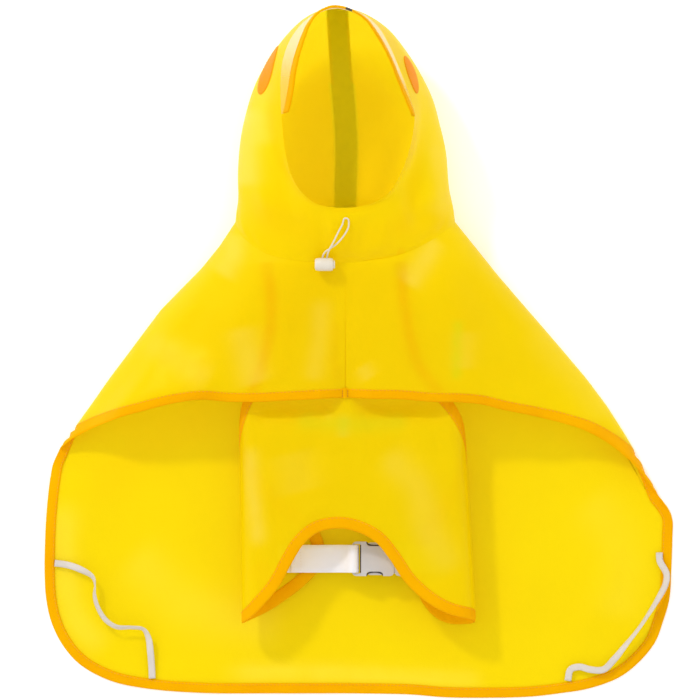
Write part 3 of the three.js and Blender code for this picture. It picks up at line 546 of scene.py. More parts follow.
def build(name, points, faces, uv=None):
    """An object from points in millimetres, riding on the part."""
    mesh = bpy.data.meshes.new(name)
    mesh.from_pydata(((np.asarray(points).reshape(-1, 3) + SHIFT) / 1000).tolist(), [], faces)
    if uv is not None:
        layer = mesh.uv_layers.new(name="cloth")
        corners = np.zeros(len(mesh.loops), int)
        mesh.loops.foreach_get("vertex_index", corners)
        layer.data.foreach_set("uv", (np.asarray(uv).reshape(-1, 2)[corners] / 1000).ravel())
    mesh.polygons.foreach_set("use_smooth", [True] * len(mesh.polygons))
    mesh.update()
    piece = linked(name, mesh)
    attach(piece, "root")
    return piece


def build_grid(name, grid, uv):
    return build(name, grid, grid_faces(*grid.shape[:2]), uv)


def build_tube(name, rings, uv):
    return build(name, rings, ring_faces(*rings.shape[:2]), uv)


def swept(name, line, sides, ups, profile, stretch):
    """A tube with one section all along a line; stretch holds the section's own cloth coordinates."""
    across = np.array(profile)[None, :, :, None]
    rings = line[:, None] + sides[:, None] * across[:, :, 0] + ups[:, None] * across[:, :, 1]
    uvs = np.stack(np.meshgrid(lengths(line), stretch, indexing="ij"), axis=-1)
    return build_tube(name, rings, uvs)


def dress(piece, material, slot, *nodes):
    """Gives a piece its material, and hides the solids that it replaces; slot is not used."""
    piece.data.materials.clear()
    piece.data.materials.append(material)
    if nodes:
        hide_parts(*nodes)
    return piece


# Materials
class Nodes:
    """Adds nodes to a new material. Most methods return the new node's main output."""

    def __init__(self, name):
        self.material = bpy.data.materials.new(name)
        self.material.use_nodes = True
        self.tree = self.material.node_tree
        self.tree.nodes.clear()

    def connect(self, value, socket):
        """Links an output to a socket, or gives the socket a number or colour."""
        if hasattr(value, "is_output"):
            self.tree.links.new(value, socket)
        elif socket.type == "RGBA" and len(value) == 3:
            socket.default_value = (*value, 1)
        else:
            socket.default_value = value

    def add(self, kind, inputs, **settings):
        """A node with its settings, and its inputs by name or number."""
        node = self.tree.nodes.new("ShaderNode" + kind)
        for key, value in settings.items():
            setattr(node, key, value)
        for key, value in inputs.items():
            self.connect(value, node.inputs[key])
        return node

    def uv(self):
        return self.add("UVMap", {}, uv_map="cloth").outputs["UV"]

    def noise(self, scale, detail=3.0, rough=0.5):
        place = self.add("TexCoord", {}).outputs["Object"]
        inputs = {"Vector": place, "Scale": scale, "Detail": detail, "Roughness": rough}
        return self.add("TexNoise", inputs).outputs["Fac"]

    def wave(self, scale, direction):
        inputs = {"Vector": self.uv(), "Scale": scale}
        return self.add("TexWave", inputs, wave_type="BANDS", bands_direction=direction).outputs["Fac"]

    def cells(self, scale, feature="F1"):
        return self.add("TexVoronoi", {"Vector": self.uv(), "Scale": scale}, feature=feature).outputs["Distance"]

    def math(self, operation, *values):
        return self.add("Math", dict(enumerate(values)), operation=operation).outputs[0]

    def weighted(self, *pairs):
        """The sum of outputs, each times its weight."""
        total = 0.0
        for output, weight in pairs:
            total = self.math("MULTIPLY_ADD", output, weight, total)
        return total

    def ramp(self, factor, low, high, start=0.3, end=0.7):
        node = self.add("ValToRGB", {"Fac": factor})
        for element, position, colour in zip(node.color_ramp.elements, (start, end), (low, high)):
            element.position = position
            element.color = (*colour, 1) if hasattr(colour, "__len__") else (colour, colour, colour, 1)
        return node.outputs["Color"]

    def blend(self, factor, a, b, kind="MIX"):
        return self.add("Mix", {0: factor, 6: a, 7: b}, data_type="RGBA", blend_type=kind).outputs[2]

    def bump(self, height, strength, distance):
        return self.add("Bump", {"Height": height, "Strength": strength, "Distance": distance}).outputs["Normal"]

    def principled(self, **values):
        return self.add("BsdfPrincipled", {key.replace("_", " "): value for key, value in values.items()}).outputs[0]

    def translucent(self, colour, **values):
        return self.add("BsdfTranslucent", {"Color": colour, **values}).outputs[0]

    def mixed(self, factor, a, b):
        return self.add("MixShader", {0: factor, 1: a, 2: b}).outputs[0]

    def surface(self, shader):
        self.add("OutputMaterial", {"Surface": shader})
        return self.material


MARK_COLOURS = ((0.92, 0.47, 0.0), (0.97, 0.82, 0.09), (0.68, 0.8, 0.01))  # binding beneath and painted shade, painted highlight, green tint


def film_cloth(
    name, light, dark, through, clear, see, shine=0.5, rough=(0.3, 0.44), tint=(1, 0.92, 0.35), marks_too=False
):
    """Thin coated cloth. clear holds how much light passes, and how much is seen through it.

    Where the marks are not drawn, the first of them opens the film further.
    """
    n = Nodes(name)
    colour = n.ramp(n.noise(7.0, 4.0), dark, light, 0.25, 0.7)
    drawn = n.add("Attribute", {}, attribute_name="tone")
    marks = n.add("SeparateColor", {0: drawn.outputs["Color"]}).outputs
    if marks_too:
        # Painted light from the points: the lightness darkens the back cloth as painted shade, and the marks tint in
        # the binding beneath, painted shade, painted highlights and green
        colour = n.blend(1.0, colour, drawn.outputs["Alpha"], "MULTIPLY")
        for mark, mark_colour in zip(marks, MARK_COLOURS):
            colour = n.blend(mark, colour, mark_colour)
    crinkle = n.noise(60.0, 5.0, 0.6)
    normal = n.bump(n.weighted((n.noise(2600.0, 2.0), 0.25), (n.noise(520.0), 0.4), (crinkle, 1.6)), 0.35, 0.0006)
    body = n.principled(
        Base_Color=colour, Roughness=n.ramp(crinkle, *rough), Normal=normal, Specular_IOR_Level=shine,
        Specular_Tint=tint,
    )
    lit = n.mixed(clear[0], body, n.translucent(through, Normal=normal))
    share = clear[1] if marks_too else n.math("MULTIPLY_ADD", marks[0], 0.62, clear[1])
    return n.surface(n.mixed(share, lit, n.add("BsdfTransparent", {"Color": see}).outputs[0]))


def woven(name, light, dark, ribs, depth=0.0002, share=0.0, tint=(1, 1, 1)):
    """Woven trim: ribs across the strip, fine threads and a little unevenness."""
    n = Nodes(name)
    cloud = n.noise(26.0, 4.0)
    weave = n.weighted((n.wave(ribs[0], "X"), 0.6), (n.wave(ribs[1], "Y"), 0.4))
    colour = n.ramp(n.weighted((weave, 0.35), (cloud, 0.65)), dark, light, 0.25, 0.62)
    body = n.principled(
        Base_Color=colour, Normal=n.bump(weave, 0.6, depth), Roughness=n.ramp(cloud, 0.67, 0.83),
        Specular_IOR_Level=0.25, Specular_Tint=tint, Sheen_Weight=0.08, Sheen_Tint=tint,
    )
    return n.surface(n.mixed(share, body, n.translucent(colour)))


def moulded(name, light, dark, rough):
    """Moulded plastic with a fine grain and slight clouds."""
    n = Nodes(name)
    fine = n.noise(900.0)
    return n.surface(n.principled(
        Base_Color=n.ramp(n.noise(30.0), dark, light), Roughness=n.ramp(fine, rough - 0.07, rough + 0.07),
        Normal=n.bump(fine, 0.4, 0.00008),
    ))


def reflective(name, light, dark):
    """Grey tape of tiny glass beads in a fine mesh."""
    n = Nodes(name)
    beads = n.cells(1400.0)
    line = n.ramp(n.cells(240.0, "DISTANCE_TO_EDGE"), 0.62, 1.0, 0.03, 0.09)
    return n.surface(n.principled(
        Base_Color=n.blend(1.0, n.ramp(beads, dark, light, 0.1, 0.6), line, "MULTIPLY"),
        Roughness=n.ramp(beads, 0.3, 0.5), Normal=n.bump(beads, 0.3, 0.00005), Metallic=0.3,
    ))


def braided(name, light, dark):
    n = Nodes(name)
    braid = n.math("ADD", n.wave(900.0, "DIAGONAL"), n.noise(900.0, 2.0))
    return n.surface(n.principled(
        Base_Color=n.ramp(braid, dark, light, 0.2, 0.9), Normal=n.bump(braid, 0.5, 0.0001), Roughness=0.8,
    ))


YELLOW = film_cloth(
    "yellow_cloth", (0.95, 0.755, 0.0), (0.92, 0.7, 0.0), (1.0, 0.82, 0.0), (0.36, 0.09), (1.0, 0.92, 0.08),
    shine=0.28, tint=(1, 0.9, 0.2), marks_too=True,
)
ORANGE = woven("orange_binding", (1.0, 0.58, 0.0), (0.97, 0.48, 0.0), (260.0, 340.0), share=0.3, tint=(1, 0.6, 0.05))
PATCH = film_cloth(
    "orange_patch", (1.0, 0.4, 0.015), (0.95, 0.34, 0.01), (1.0, 0.38, 0.01), (0.3, 0.04), (1.0, 0.5, 0.02),
    shine=0.04, tint=(1, 0.5, 0.03),
)
# Clear film whose cream colour is partly a painted reflection of glare
FILM = film_cloth(
    "clear_film", (1.0, 0.86, 0.6), (1.0, 0.8, 0.5), (1.0, 0.85, 0.5), (0.35, 0.2), (1.0, 0.93, 0.7),
    shine=0.6, rough=(0.18, 0.3), tint=(1, 1, 1),
)
WHITE = woven("white_webbing", (0.97, 0.96, 1.0), (0.9, 0.88, 0.92), (420.0, 420.0), depth=0.0003, share=0.05)
ELASTIC = woven("elastic", (0.84, 0.78, 0.72), (0.7, 0.63, 0.56), (520.0, 300.0), depth=0.0003, share=0.15)
BRAID = braided("cord_braid", (0.78, 0.71, 0.57), (0.62, 0.54, 0.4))
TAPE = reflective("reflective_tape", (0.88, 0.9, 0.8), (0.72, 0.74, 0.65))
THREAD = moulded("orange_thread", (0.93, 0.45, 0.03), (0.85, 0.36, 0.02), 0.7)
BROWN_THREAD = moulded("brown_thread", (0.45, 0.17, 0.02), (0.36, 0.13, 0.015), 0.7)
WHITE_THREAD = moulded("white_thread", (0.85, 0.8, 0.74), (0.75, 0.7, 0.64), 0.7)
YELLOW_THREAD = moulded("yellow_thread", (0.95, 0.62, 0.01), (0.88, 0.55, 0.005), 0.7)
GREY = moulded("grey_plastic", (0.58, 0.56, 0.56), (0.5, 0.48, 0.48), 0.38)
# Near-black for painted shade in the buckle's gaps and where the tape's end crosses the crest
SHADE = moulded("painted_shade_black", (0.07, 0.055, 0.045), (0.04, 0.03, 0.025), 0.6)
IVORY = moulded("ivory_plastic", (0.74, 0.68, 0.58), (0.66, 0.59, 0.47), 0.32)


# Cords first: the drawcord's loop and the two leg elastics
def declare_cord(line):
    path = (line + SHIFT) / 1000
    tuple(path[0])
    float(lengths(line)[-1]) / 1000


def drawcord_piece():
    line = curve(DRAWCORD, 150)
    ways = ways_of(line)
    sides = unit(np.cross(ways, (0.3, -0.5, 1.0)))
    angles = np.arange(12) * math.pi / 6
    section = CORD_RADIUS * np.column_stack([np.cos(angles), np.sin(angles)])
    piece = swept("drawcord_loop", line, sides, np.cross(sides, ways), section, angles * 2)
    dress(piece, BRAID, "white_webbing", "drawcord")
    declare_cord(line)


def strip_section(shares, width, thick, apart):
    """A strip's section from shares of its half width and thickness; its upper face's cloth coordinates lie apart."""
    section = [(s * width / 2, t * thick / 2) for s, t in shares]
    return section, [s * width / 2 + (apart if t > 0 else 0) for s, t in shares]


def elastic_piece(name, route):
    route = np.array(route, float)
    line = curve(route[:, :3], 90)
    turn = np.radians(table(route[:, 3], np.linspace(0, 1, len(line))))[:, None]
    ways = ways_of(line)
    level = unit(np.cross((0, 0, 1), ways))
    steep = np.cross(ways, level)
    sides = level * np.cos(turn) + steep * np.sin(turn)
    ups = steep * np.cos(turn) - level * np.sin(turn)
    shares = [(-1, -0.6), (-0.5, -1), (0.5, -1), (1, -0.6), (1, 0.6), (0.5, 1), (-0.5, 1), (-1, 0.6)]
    piece = swept(f"{name}_band", line, sides, ups, *strip_section(shares, ELASTIC_WIDE, ELASTIC_THICK, 40))
    dress(piece, ELASTIC, "white_webbing", name)
    declare_cord(line)


drawcord_piece()
for name, route in ELASTICS.items():
    elastic_piece(name, route)


# Cape
def flat_hem():
    """The hem's line on the flat cloth, with the two fronts unfolded."""
    points = [
        *LEFT.mirrored(np.array(HEM_LEFT, float)),
        *np.array(HEM_BACK[1:-1], float),
        *RIGHT.mirrored(np.array(HEM_RIGHT, float))[::-1],
    ]
    return curve(points, 700)


HEM = flat_hem()
HEM_INNER = moved(HEM, HEM_BINDING - 1.0)
HEM_LENGTH = lengths(HEM)[-1]


def crossing(line, fold):
    """The share of a line's steps at which it crosses a fold."""
    d = fold.distance(line)
    i = int(np.argmax(d[:-1] * d[1:] <= 0))
    return (i + d[i] / (d[i] - d[i + 1])) / (len(line) - 1)


def stops(near, far, fine, widest):
    """Places from near to far, fine at first and then wider apart."""
    total = abs(far - near)
    away, gap, out = 0.0, fine, []
    while away < total - widest / 2:
        out.append(near + math.copysign(away, far - near))
        away += gap
        gap = min(gap * 1.2, widest)
    return [*out, far]


def cape_columns():
    """The cape's grid columns, close together at the folds: the point on the neck, and the share along the hem."""
    front = curve(NECK_FRONT, 300)
    middle = int(np.argmax(front[:, 0] > SEAM_X))
    left, right = front[:middle][::-1].copy(), front[middle:].copy()
    left[0, 1] = right[0, 1] = NECK_Y
    left[0, 0] = right[0, 0] = SEAM_X
    neck = np.vstack([LEFT.mirrored(left), curve(NECK_BACK, 200)[1:], RIGHT.mirrored(right[::-1][1:])])
    runs = lengths(neck)
    hem_cross = [crossing(HEM_INNER, fold) * HEM_LENGTH for fold in (LEFT, RIGHT)]
    neck_cross = [lengths(left)[-1], runs[-1] - lengths(right)[-1]]
    hem_middle, neck_middle = sum(hem_cross) / 2, sum(neck_cross) / 2
    pairs = {}
    for near, far, neck_near, neck_far in (
        (hem_cross[0], 0, neck_cross[0], 0),
        (hem_cross[0], hem_middle, neck_cross[0], neck_middle),
        (hem_cross[1], hem_middle, neck_cross[1], neck_middle),
        (hem_cross[1], HEM_LENGTH, neck_cross[1], runs[-1]),
    ):
        below = stops(near, far, 0.6, 5.0)
        shares = (np.arange(len(below)) / (len(below) - 1)) ** 1.5
        above = along(neck, mix(neck_near, neck_far, shares))
        for b, a in zip(below, above):
            pairs[round(b, 4)] = (a, b / HEM_LENGTH)
    return [pairs[key] for key in sorted(pairs)]


COLUMNS = cape_columns()
SHARES = np.array([share for _, share in COLUMNS])


def cape_piece():
    above = np.array([a for a, _ in COLUMNS])
    below = step_at(HEM_INNER, SHARES)
    rows = np.concatenate([np.linspace(0, 0.2, 14, endpoint=False), np.linspace(0.2, 1, 56)])
    flat = np.array([mix(above, below, t) for t in rows])
    points = cape_surface(flat)
    piece = build_grid("cape_cloth", points, flat)
    dress(piece, YELLOW, "yellow_cloth", "cape")
    left, right = LEFT.distance(flat), RIGHT.distance(flat)
    inward = np.minimum(left, right)
    plan = np.where((left < right)[..., None], LEFT.mirrored(flat), RIGHT.mirrored(flat))
    marks = np.where((inward < 0)[..., None], marked(plan, CAPE_MARKS), marked(flat, BACK_MARKS))
    # Painted shade: the back cloth, from 16 mm in from the folds, is darkened by a tenth
    tone(piece, np.concatenate([marks, (1 - 0.1 * smooth(inward / 16))[..., None]], axis=-1))
    return piece


cape = cape_piece()


def strip_rings(surface, normal, line, shares, width, lift, offset=0.0, seed=1.0):
    """A folded strip of binding along a flat line: rings of points round its section."""
    across = [(0.0, 0.5), (0.04, 0.9), (0.18, 1.0), (0.5, 1.08), (0.84, 1.0), (0.96, 0.85), (1.0, 0.5)]
    top, bottom, uvs = [], [], []
    runs = shares * lengths(line)[-1]
    for share, height in across:
        flat = step_at(moved(line, offset + share * width), shares)
        p, n = surface(flat), normal(flat)
        pucker = np.array([roughness_at(r / 7.0, share * 1.5, seed) for r in runs])[:, None] * 0.5
        pucker = pucker * math.sin(math.pi * share)
        top.append(p + n * (lift + BINDING_THICK * (height - 0.5) + pucker))
        bottom.append(p + n * (lift - BINDING_THICK * (height - 0.5) + pucker * 0.5))
    rings = np.stack([*top, *bottom[::-1]], axis=1)
    for side in (0, 1):
        for share, _ in across if side == 0 else across[::-1]:
            uvs.append(np.stack([runs, np.full(len(runs), share * width + side * 30)], axis=-1))
    return rings, np.stack(uvs, axis=1)


def stitches(name, starts, ends, normals, material, slot, radius=0.28):
    """Short threads between pairs of points, each a small faceted grain standing proud of the cloth."""
    points, faces = [], []
    for a, b, n in zip(starts, ends, normals):
        way = b - a
        side = unit(np.cross(n, way))
        base = len(points)
        middle = (a + b) / 2 + n * radius * 0.9
        points += [a, middle + side * radius, middle + n * radius, middle - side * radius, b]
        faces += [(base, base + 1, base + 2), (base, base + 2, base + 3), (base + 4, base + 2, base + 1)]
        faces += [(base + 4, base + 3, base + 2)]
    piece = build(name, points, faces)
    return dress(piece, material, slot)


def stitch_row(name, surface, normal, line, offset, lift):
    """A row of orange stitches beside a flat line."""
    span = 0.003, 0.997
    count = int(lengths(line)[-1] * (span[1] - span[0]) / STITCH_PITCH)
    side = moved(line, offset)
    shares = np.linspace(*span, count + 1)
    first = step_at(side, shares[:-1])
    last = step_at(side, shares[:-1] + (shares[1] - shares[0]) * 0.68)
    n = normal(first)
    return stitches(name, surface(first) + n * lift, surface(last) + n * lift, n, THREAD, "orange_binding")


def cape_binding():
    shares = np.unique(np.concatenate([SHARES, np.linspace(0, 1, 520)]))
    rings, uvs = strip_rings(cape_surface, cape_normal, HEM, shares, HEM_BINDING, -BINDING_THICK / 2)
    rings[..., 2] = np.maximum(rings[..., 2], 0.0)
    piece = build_tube("hem_binding", rings, uvs)
    dress(piece, ORANGE, "orange_binding", "cape_binding")
    row = stitch_row("hem_stitches", cape_surface, cape_normal, HEM, HEM_BINDING - 1.5, 0.05)
    inside = stitch_row(
        "hem_stitches_inside", cape_surface, lambda q: -cape_normal(q), HEM, HEM_BINDING - 1.5, 2.0
    )
    return [piece, row, inside]


hem = cape_binding()


def hem_join():
    """The lapped end of the binding where the two fronts meet, stitched down at both sides."""
    across = np.array([-13.4, -12.9, -11.2, -9.6, -9.1])
    down = np.linspace(-43.0, -34.2, 6)
    height = np.array([0.05, 0.62, 0.7, 0.62, 0.05])
    plan = np.array([[(x, y) for x in across] for y in down])
    grid = np.dstack([plan, chest_height(plan, front_dip) + 0.15 + height])
    dress(build_grid("hem_join", grid, plan + 11), ORANGE, "orange_binding")
    starts = np.array([(x, y) for x in (-13.5, -9.0) for y in (-42.2, -40.0, -37.8)])
    heights = [chest_height(at, front_dip) + 0.4 for at in (starts, starts + (0, 1.7))]
    starts, ends = (np.column_stack(pair) for pair in zip((starts, starts + (0.2, 1.7)), heights))
    stitches("hem_join_stitches", starts, ends, [UP] * len(starts), BROWN_THREAD, "orange_binding", 0.3)


hem_join()


# Hood
def hood_ring(front, back, sides):
    """A ring round the head from its front and back points and the x of its two sides."""
    angle = np.linspace(0, 2 * math.pi, 241)
    forward = (1 - np.cos(angle)) / 2
    reach = np.abs(np.sin(angle))
    spine = mix(back[0], front[0], forward)
    edge = np.where(angle < math.pi, sides[0], sides[1])
    x = spine + (edge - spine) * reach
    return np.stack([x, mix(back[1], front[1], forward), mix(back[2], front[2], forward)], axis=-1)


HOOD_SIDE = 84  # steps of the hood's grid on each side, from the seam at its back to the chin


def even_ring(ring, front):
    """A ring's points spaced evenly on both sides of its front point."""
    return np.vstack([even(ring[: front + 1], HOOD_SIDE), even(ring[front:], HOOD_SIDE)[1:]])


def face_ring():
    line = curve(FACE_EDGE, 240)
    back, chin = line[0, 1], line[:, 1].min()
    z = mix(*FACE_HEIGHTS, (back - line[:, 1]) / (back - chin))
    return even_ring(np.column_stack([line, z]), int(np.argmin(line[:, 1])))


def hood_grid():
    """The hood's grid from the neck up to the face opening, pressed flat where it lies on the surface."""
    edge = cape_surface(np.array([a for a, _ in COLUMNS]), folds=False)
    back = int(np.argmin(np.where(edge[:, 1] > 125, np.abs(edge[:, 0] - SEAM_X), 1e9)))
    middle = np.array([SEAM_X, edge[back, 1], edge[back, 2]])
    to_left = edge[:back][::-1]
    to_right = edge[back + 1 :][::-1]
    first = even_ring(np.vstack([[middle], to_left, to_right[1:], [middle]]), len(to_left))
    stack = np.stack([first, *(even_ring(hood_ring(*r), 120) for r in HOOD_RINGS), face_ring()])
    rows = np.linspace(0, 1, 61) ** 1.05
    grid = np.stack([step_at(spline(stack[:, j], 40), rows) for j in range(stack.shape[1])], axis=1)
    floor = 0.9 + GAP  # the cloth's middle, over the tape
    over = grid[..., 2] - floor
    pressed = floor + np.where(over > -3, (over + 3) ** 2 / 12, 0)
    low = (over < 3) & (np.arange(len(grid)) > 0)[:, None]
    grid[..., 2] = np.where(low, pressed, grid[..., 2])
    return grid


def hood_form():
    """The hood's grid with its creases and gathers, and its normals."""
    grid = hood_grid()
    normals = grid_normals(grid)
    v = np.linspace(0, 1, len(grid))[:, None]
    calm = smooth(v / 0.08) * smooth((1 - v) / 0.06)
    columns = np.arange(grid.shape[1])
    seam = smooth((np.minimum(columns, columns[::-1]) - 9) / 12)[None]
    high = smooth((grid[..., 2] - 8) / 30)
    rise = creased(grid[..., :2], HOOD_CREASES) * CREASE_DEPTH * high * (normals[..., 2] > -0.2)
    around = columns / 9.0 + v * 2
    small = np.array([[roughness_at(x / 34, y / 40, z / 34) for x, y, z in row] for row in grid]) * 1.5
    gathers = 0.5 * np.sin(around * 7.0) * np.exp(-((v - 0.05) / 0.06) ** 2) * (normals[..., 2] > 0)
    grid = grid + normals * ((rise + small + gathers) * calm * np.maximum(seam, 0.0))[..., None]
    return grid, normals


hood_points, hood_normals = hood_form()


def hood_uv(grid):
    """Cloth coordinates: how far each point lies along its ring, and up from the neck."""
    across = np.cumsum(norm(np.diff(grid, axis=1, prepend=grid[:, :1])), axis=1)
    down = np.cumsum(norm(np.diff(grid, axis=0, prepend=grid[:1])), axis=0)
    return np.stack([across, down], axis=-1)


def hood_piece():
    hood = build_grid("hood_cloth", hood_points, hood_uv(hood_points))
    dress(hood, YELLOW, "yellow_cloth", "hood")
    marks = marked(hood_points[..., :2], HOOD_MARKS) * (hood_normals[..., 2:] > 0.05)
    columns = np.arange(hood_points.shape[1])
    from_seam = np.minimum(columns, columns[::-1]) * norm(hood_points[:, 0] - hood_points[:, 1])[:, None]
    marks[..., 2] = np.maximum(marks[..., 2], 0.5 * (from_seam < TAPE_WIDTH / 2))
    tone(hood, marks)
    return hood


def face_hem_piece():
    """The turned edge of the face opening: a second layer of cloth, 9 mm deep, inside the hood."""
    rows = 8
    turned = hood_points[-rows:] - hood_normals[-rows:] * np.linspace(0.9, 0.15, rows)[:, None, None]
    piece = build_grid("face_hem", turned, hood_uv(turned))
    dress(piece, YELLOW, "yellow_cloth")
    tone(piece, np.zeros_like(turned))
    return piece


hood = hood_piece()
face_hem = face_hem_piece()


def on_hood(column, row):
    """The point and normal of the hood between its grid's points."""
    j = int(np.clip(math.floor(column), 0, hood_points.shape[1] - 2))
    i = int(np.clip(math.floor(row), 0, len(hood_points) - 2))
    s, t = column - j, row - i

    def between(grid):
        return mix(mix(grid[i, j], grid[i, j + 1], s), mix(grid[i + 1, j], grid[i + 1, j + 1], s), t)

    return between(hood_points), unit(between(hood_normals))


def tape_rings():
    """The tape's closed rings up the hood's seam, with a tail that lies flat past the neck seam."""
    last = hood_points.shape[1] - 1
    shares = np.linspace(-1, 1, 13)
    middle = len(shares) // 2
    outer, runs = [], [0.0]
    for row in np.linspace(1.2, len(hood_points) - 1.2, 90):
        width = norm(hood_points[int(row), 0] - hood_points[int(row), 1])
        points, under = [], []
        for share in shares:
            away = abs(share * TAPE_WIDTH) / 2 / width
            p, n = on_hood(away if share < 0 else last - away, row)
            if share == 0:
                q, m = on_hood(0, row)
                p, n = (p + q) / 2, (n + m) / 2
            edge = 0.35 * smooth((abs(share) - 0.86) / 0.14)
            points.append(p + n * (0.95 - edge))
            under.append(p + n * 0.3)
        if outer:
            runs.append(runs[-1] + norm(points[middle] - outer[-1][middle]))
        outer.append([*points, *under[::-1]])
    across = np.concatenate([shares, shares[::-1]]) * TAPE_WIDTH / 2 + np.repeat([0, 40], len(shares))
    tail = np.array([[p - (0, away, 0) for p in outer[0]] for away in TAPE_TAIL])
    tail[..., 2] = np.repeat([-0.2, -0.08], len(shares))
    rings = np.array([*tail, *outer])
    rings[len(tail):, :, 2] = np.maximum(rings[len(tail):, :, 2], 0.02)
    runs = [*(-away for away in TAPE_TAIL), *runs]
    return rings, np.stack(np.meshgrid(runs, across, indexing="ij"), axis=-1), len(shares)


def tape_piece():
    """The tape, with a row of stitches near each edge."""
    rings, uvs, half = tape_rings()
    dress(build_tube("crown_tape", rings, uvs), TAPE, "reflective_tape", "hood_tape")
    for side, column in (("left", 1), ("right", half - 2)):
        line = rings[:, column]
        runs = np.arange(1.0, lengths(line)[-1] - 3, STITCH_PITCH)
        starts, ends = along(line, runs), along(line, runs + 2.2)
        widths = rings[:, half - 1] - rings[:, 0]
        out = unit(np.cross(ends - starts, along(widths, lengths(widths)[-1] * runs / runs[-1])))
        out *= -np.sign(out[:, 2:3] + 1e-9) if out[len(out) // 3, 2] > 0 else 1
        for points in (starts, ends):
            points += out * 0.02
            points[:, 2] = np.maximum(points[:, 2], 0.05)
        stitches(f"tape_stitches_{side}", starts, ends, out, YELLOW_THREAD, "reflective_tape", 0.2)


tape_piece()


def nearest_on_hood(place):
    """The column and row of the hood's upper side nearest to a place in the plan."""
    rows, columns = np.meshgrid(
        np.arange(14, len(hood_points) - 4), np.arange(14, hood_points.shape[1] - 14), indexing="ij"
    )
    there = hood_points[rows, columns]
    miss = norm(there[..., :2] - np.array(place, float)) + np.where(there[..., 2] < 60, 40, 0)
    best = np.unravel_index(np.argmin(miss), miss.shape)
    return int(columns[best]), int(rows[best])


def patch_piece(name, place):
    """An oval patch laid on the hood, its edge turned down, with a row of stitches inside it."""
    wide, long = PATCH_SIZES[name]
    column, row = nearest_on_hood(place)
    row_size = norm(on_hood(column, row + 1)[0] - on_hood(column, row - 1)[0]) / 2
    column_size = norm(on_hood(column + 1, row)[0] - on_hood(column - 1, row)[0]) / 2

    def spot(turn, radius):
        """The point and normal of the hood at a share of a turn and of the oval's radius, and its place on the oval."""
        u = math.cos(2 * math.pi * turn) * radius * long / 2
        w = math.sin(2 * math.pi * turn) * radius * wide / 2
        return *on_hood(column + u / column_size, row + w / row_size), (u, w)

    rings = [(0.0, 0.75), (0.3, 0.78), (0.6, 0.76), (0.84, 0.74), (0.95, 0.66), (1.0, 0.4), (1.0, 0.12)]
    around = 56
    points, uvs, faces = [], [], []
    for radius, height in rings:
        for k in range(around if radius else 1):
            p, n, uv = spot(k / around, radius)
            points.append(p + n * height)
            uvs.append(uv)
    for k in range(around):
        faces.append((0, 1 + k, 1 + (k + 1) % around))
        for r in range(len(rings) - 2):
            a, b = 1 + r * around, 1 + (r + 1) * around
            faces.append((a + k, b + k, b + (k + 1) % around, a + (k + 1) % around))
    piece = build(name + "_cloth", points, faces, uvs)
    dress(piece, PATCH, "orange_patch", name)
    tone(piece, np.zeros((len(points), 3)))
    count, height = 42, 0.74
    starts, ends = ([spot((k + part) / count, 0.9) for k in range(count)] for part in (0, 0.66))
    outs = [n for _, n, _ in ends]
    starts, ends = ([p + n * height for p, n, _ in spots] for spots in (starts, ends))
    stitches(name + "_stitches", starts, ends, outs, THREAD, "orange_patch", 0.22)


for name, place in PATCHES.items():
    patch_piece(name, place)


# Brim
def brim_lines(count=120):
    """The brim's foot on the face opening and its free edge above."""
    face = hood_points[-1]
    left = face[: HOOD_SIDE + 1]
    left = left[left[:, 1] > 209][::-1]
    right = face[HOOD_SIDE:]
    right = right[right[:, 1] > 207][::-1]
    if left[0, 1] > left[-1, 1]:
        left = left[::-1]
    base = np.vstack([left, right[1:]])
    base = even(base, count)
    edge = curve(BRIM_EDGE, count)
    t = np.linspace(0, 1, count + 1)
    depth = 9 + (BRIM_DEPTH - 9) * np.sin(math.pi * t) ** 0.8
    return base + UP * GAP, np.column_stack([edge, base[:, 2] + depth])


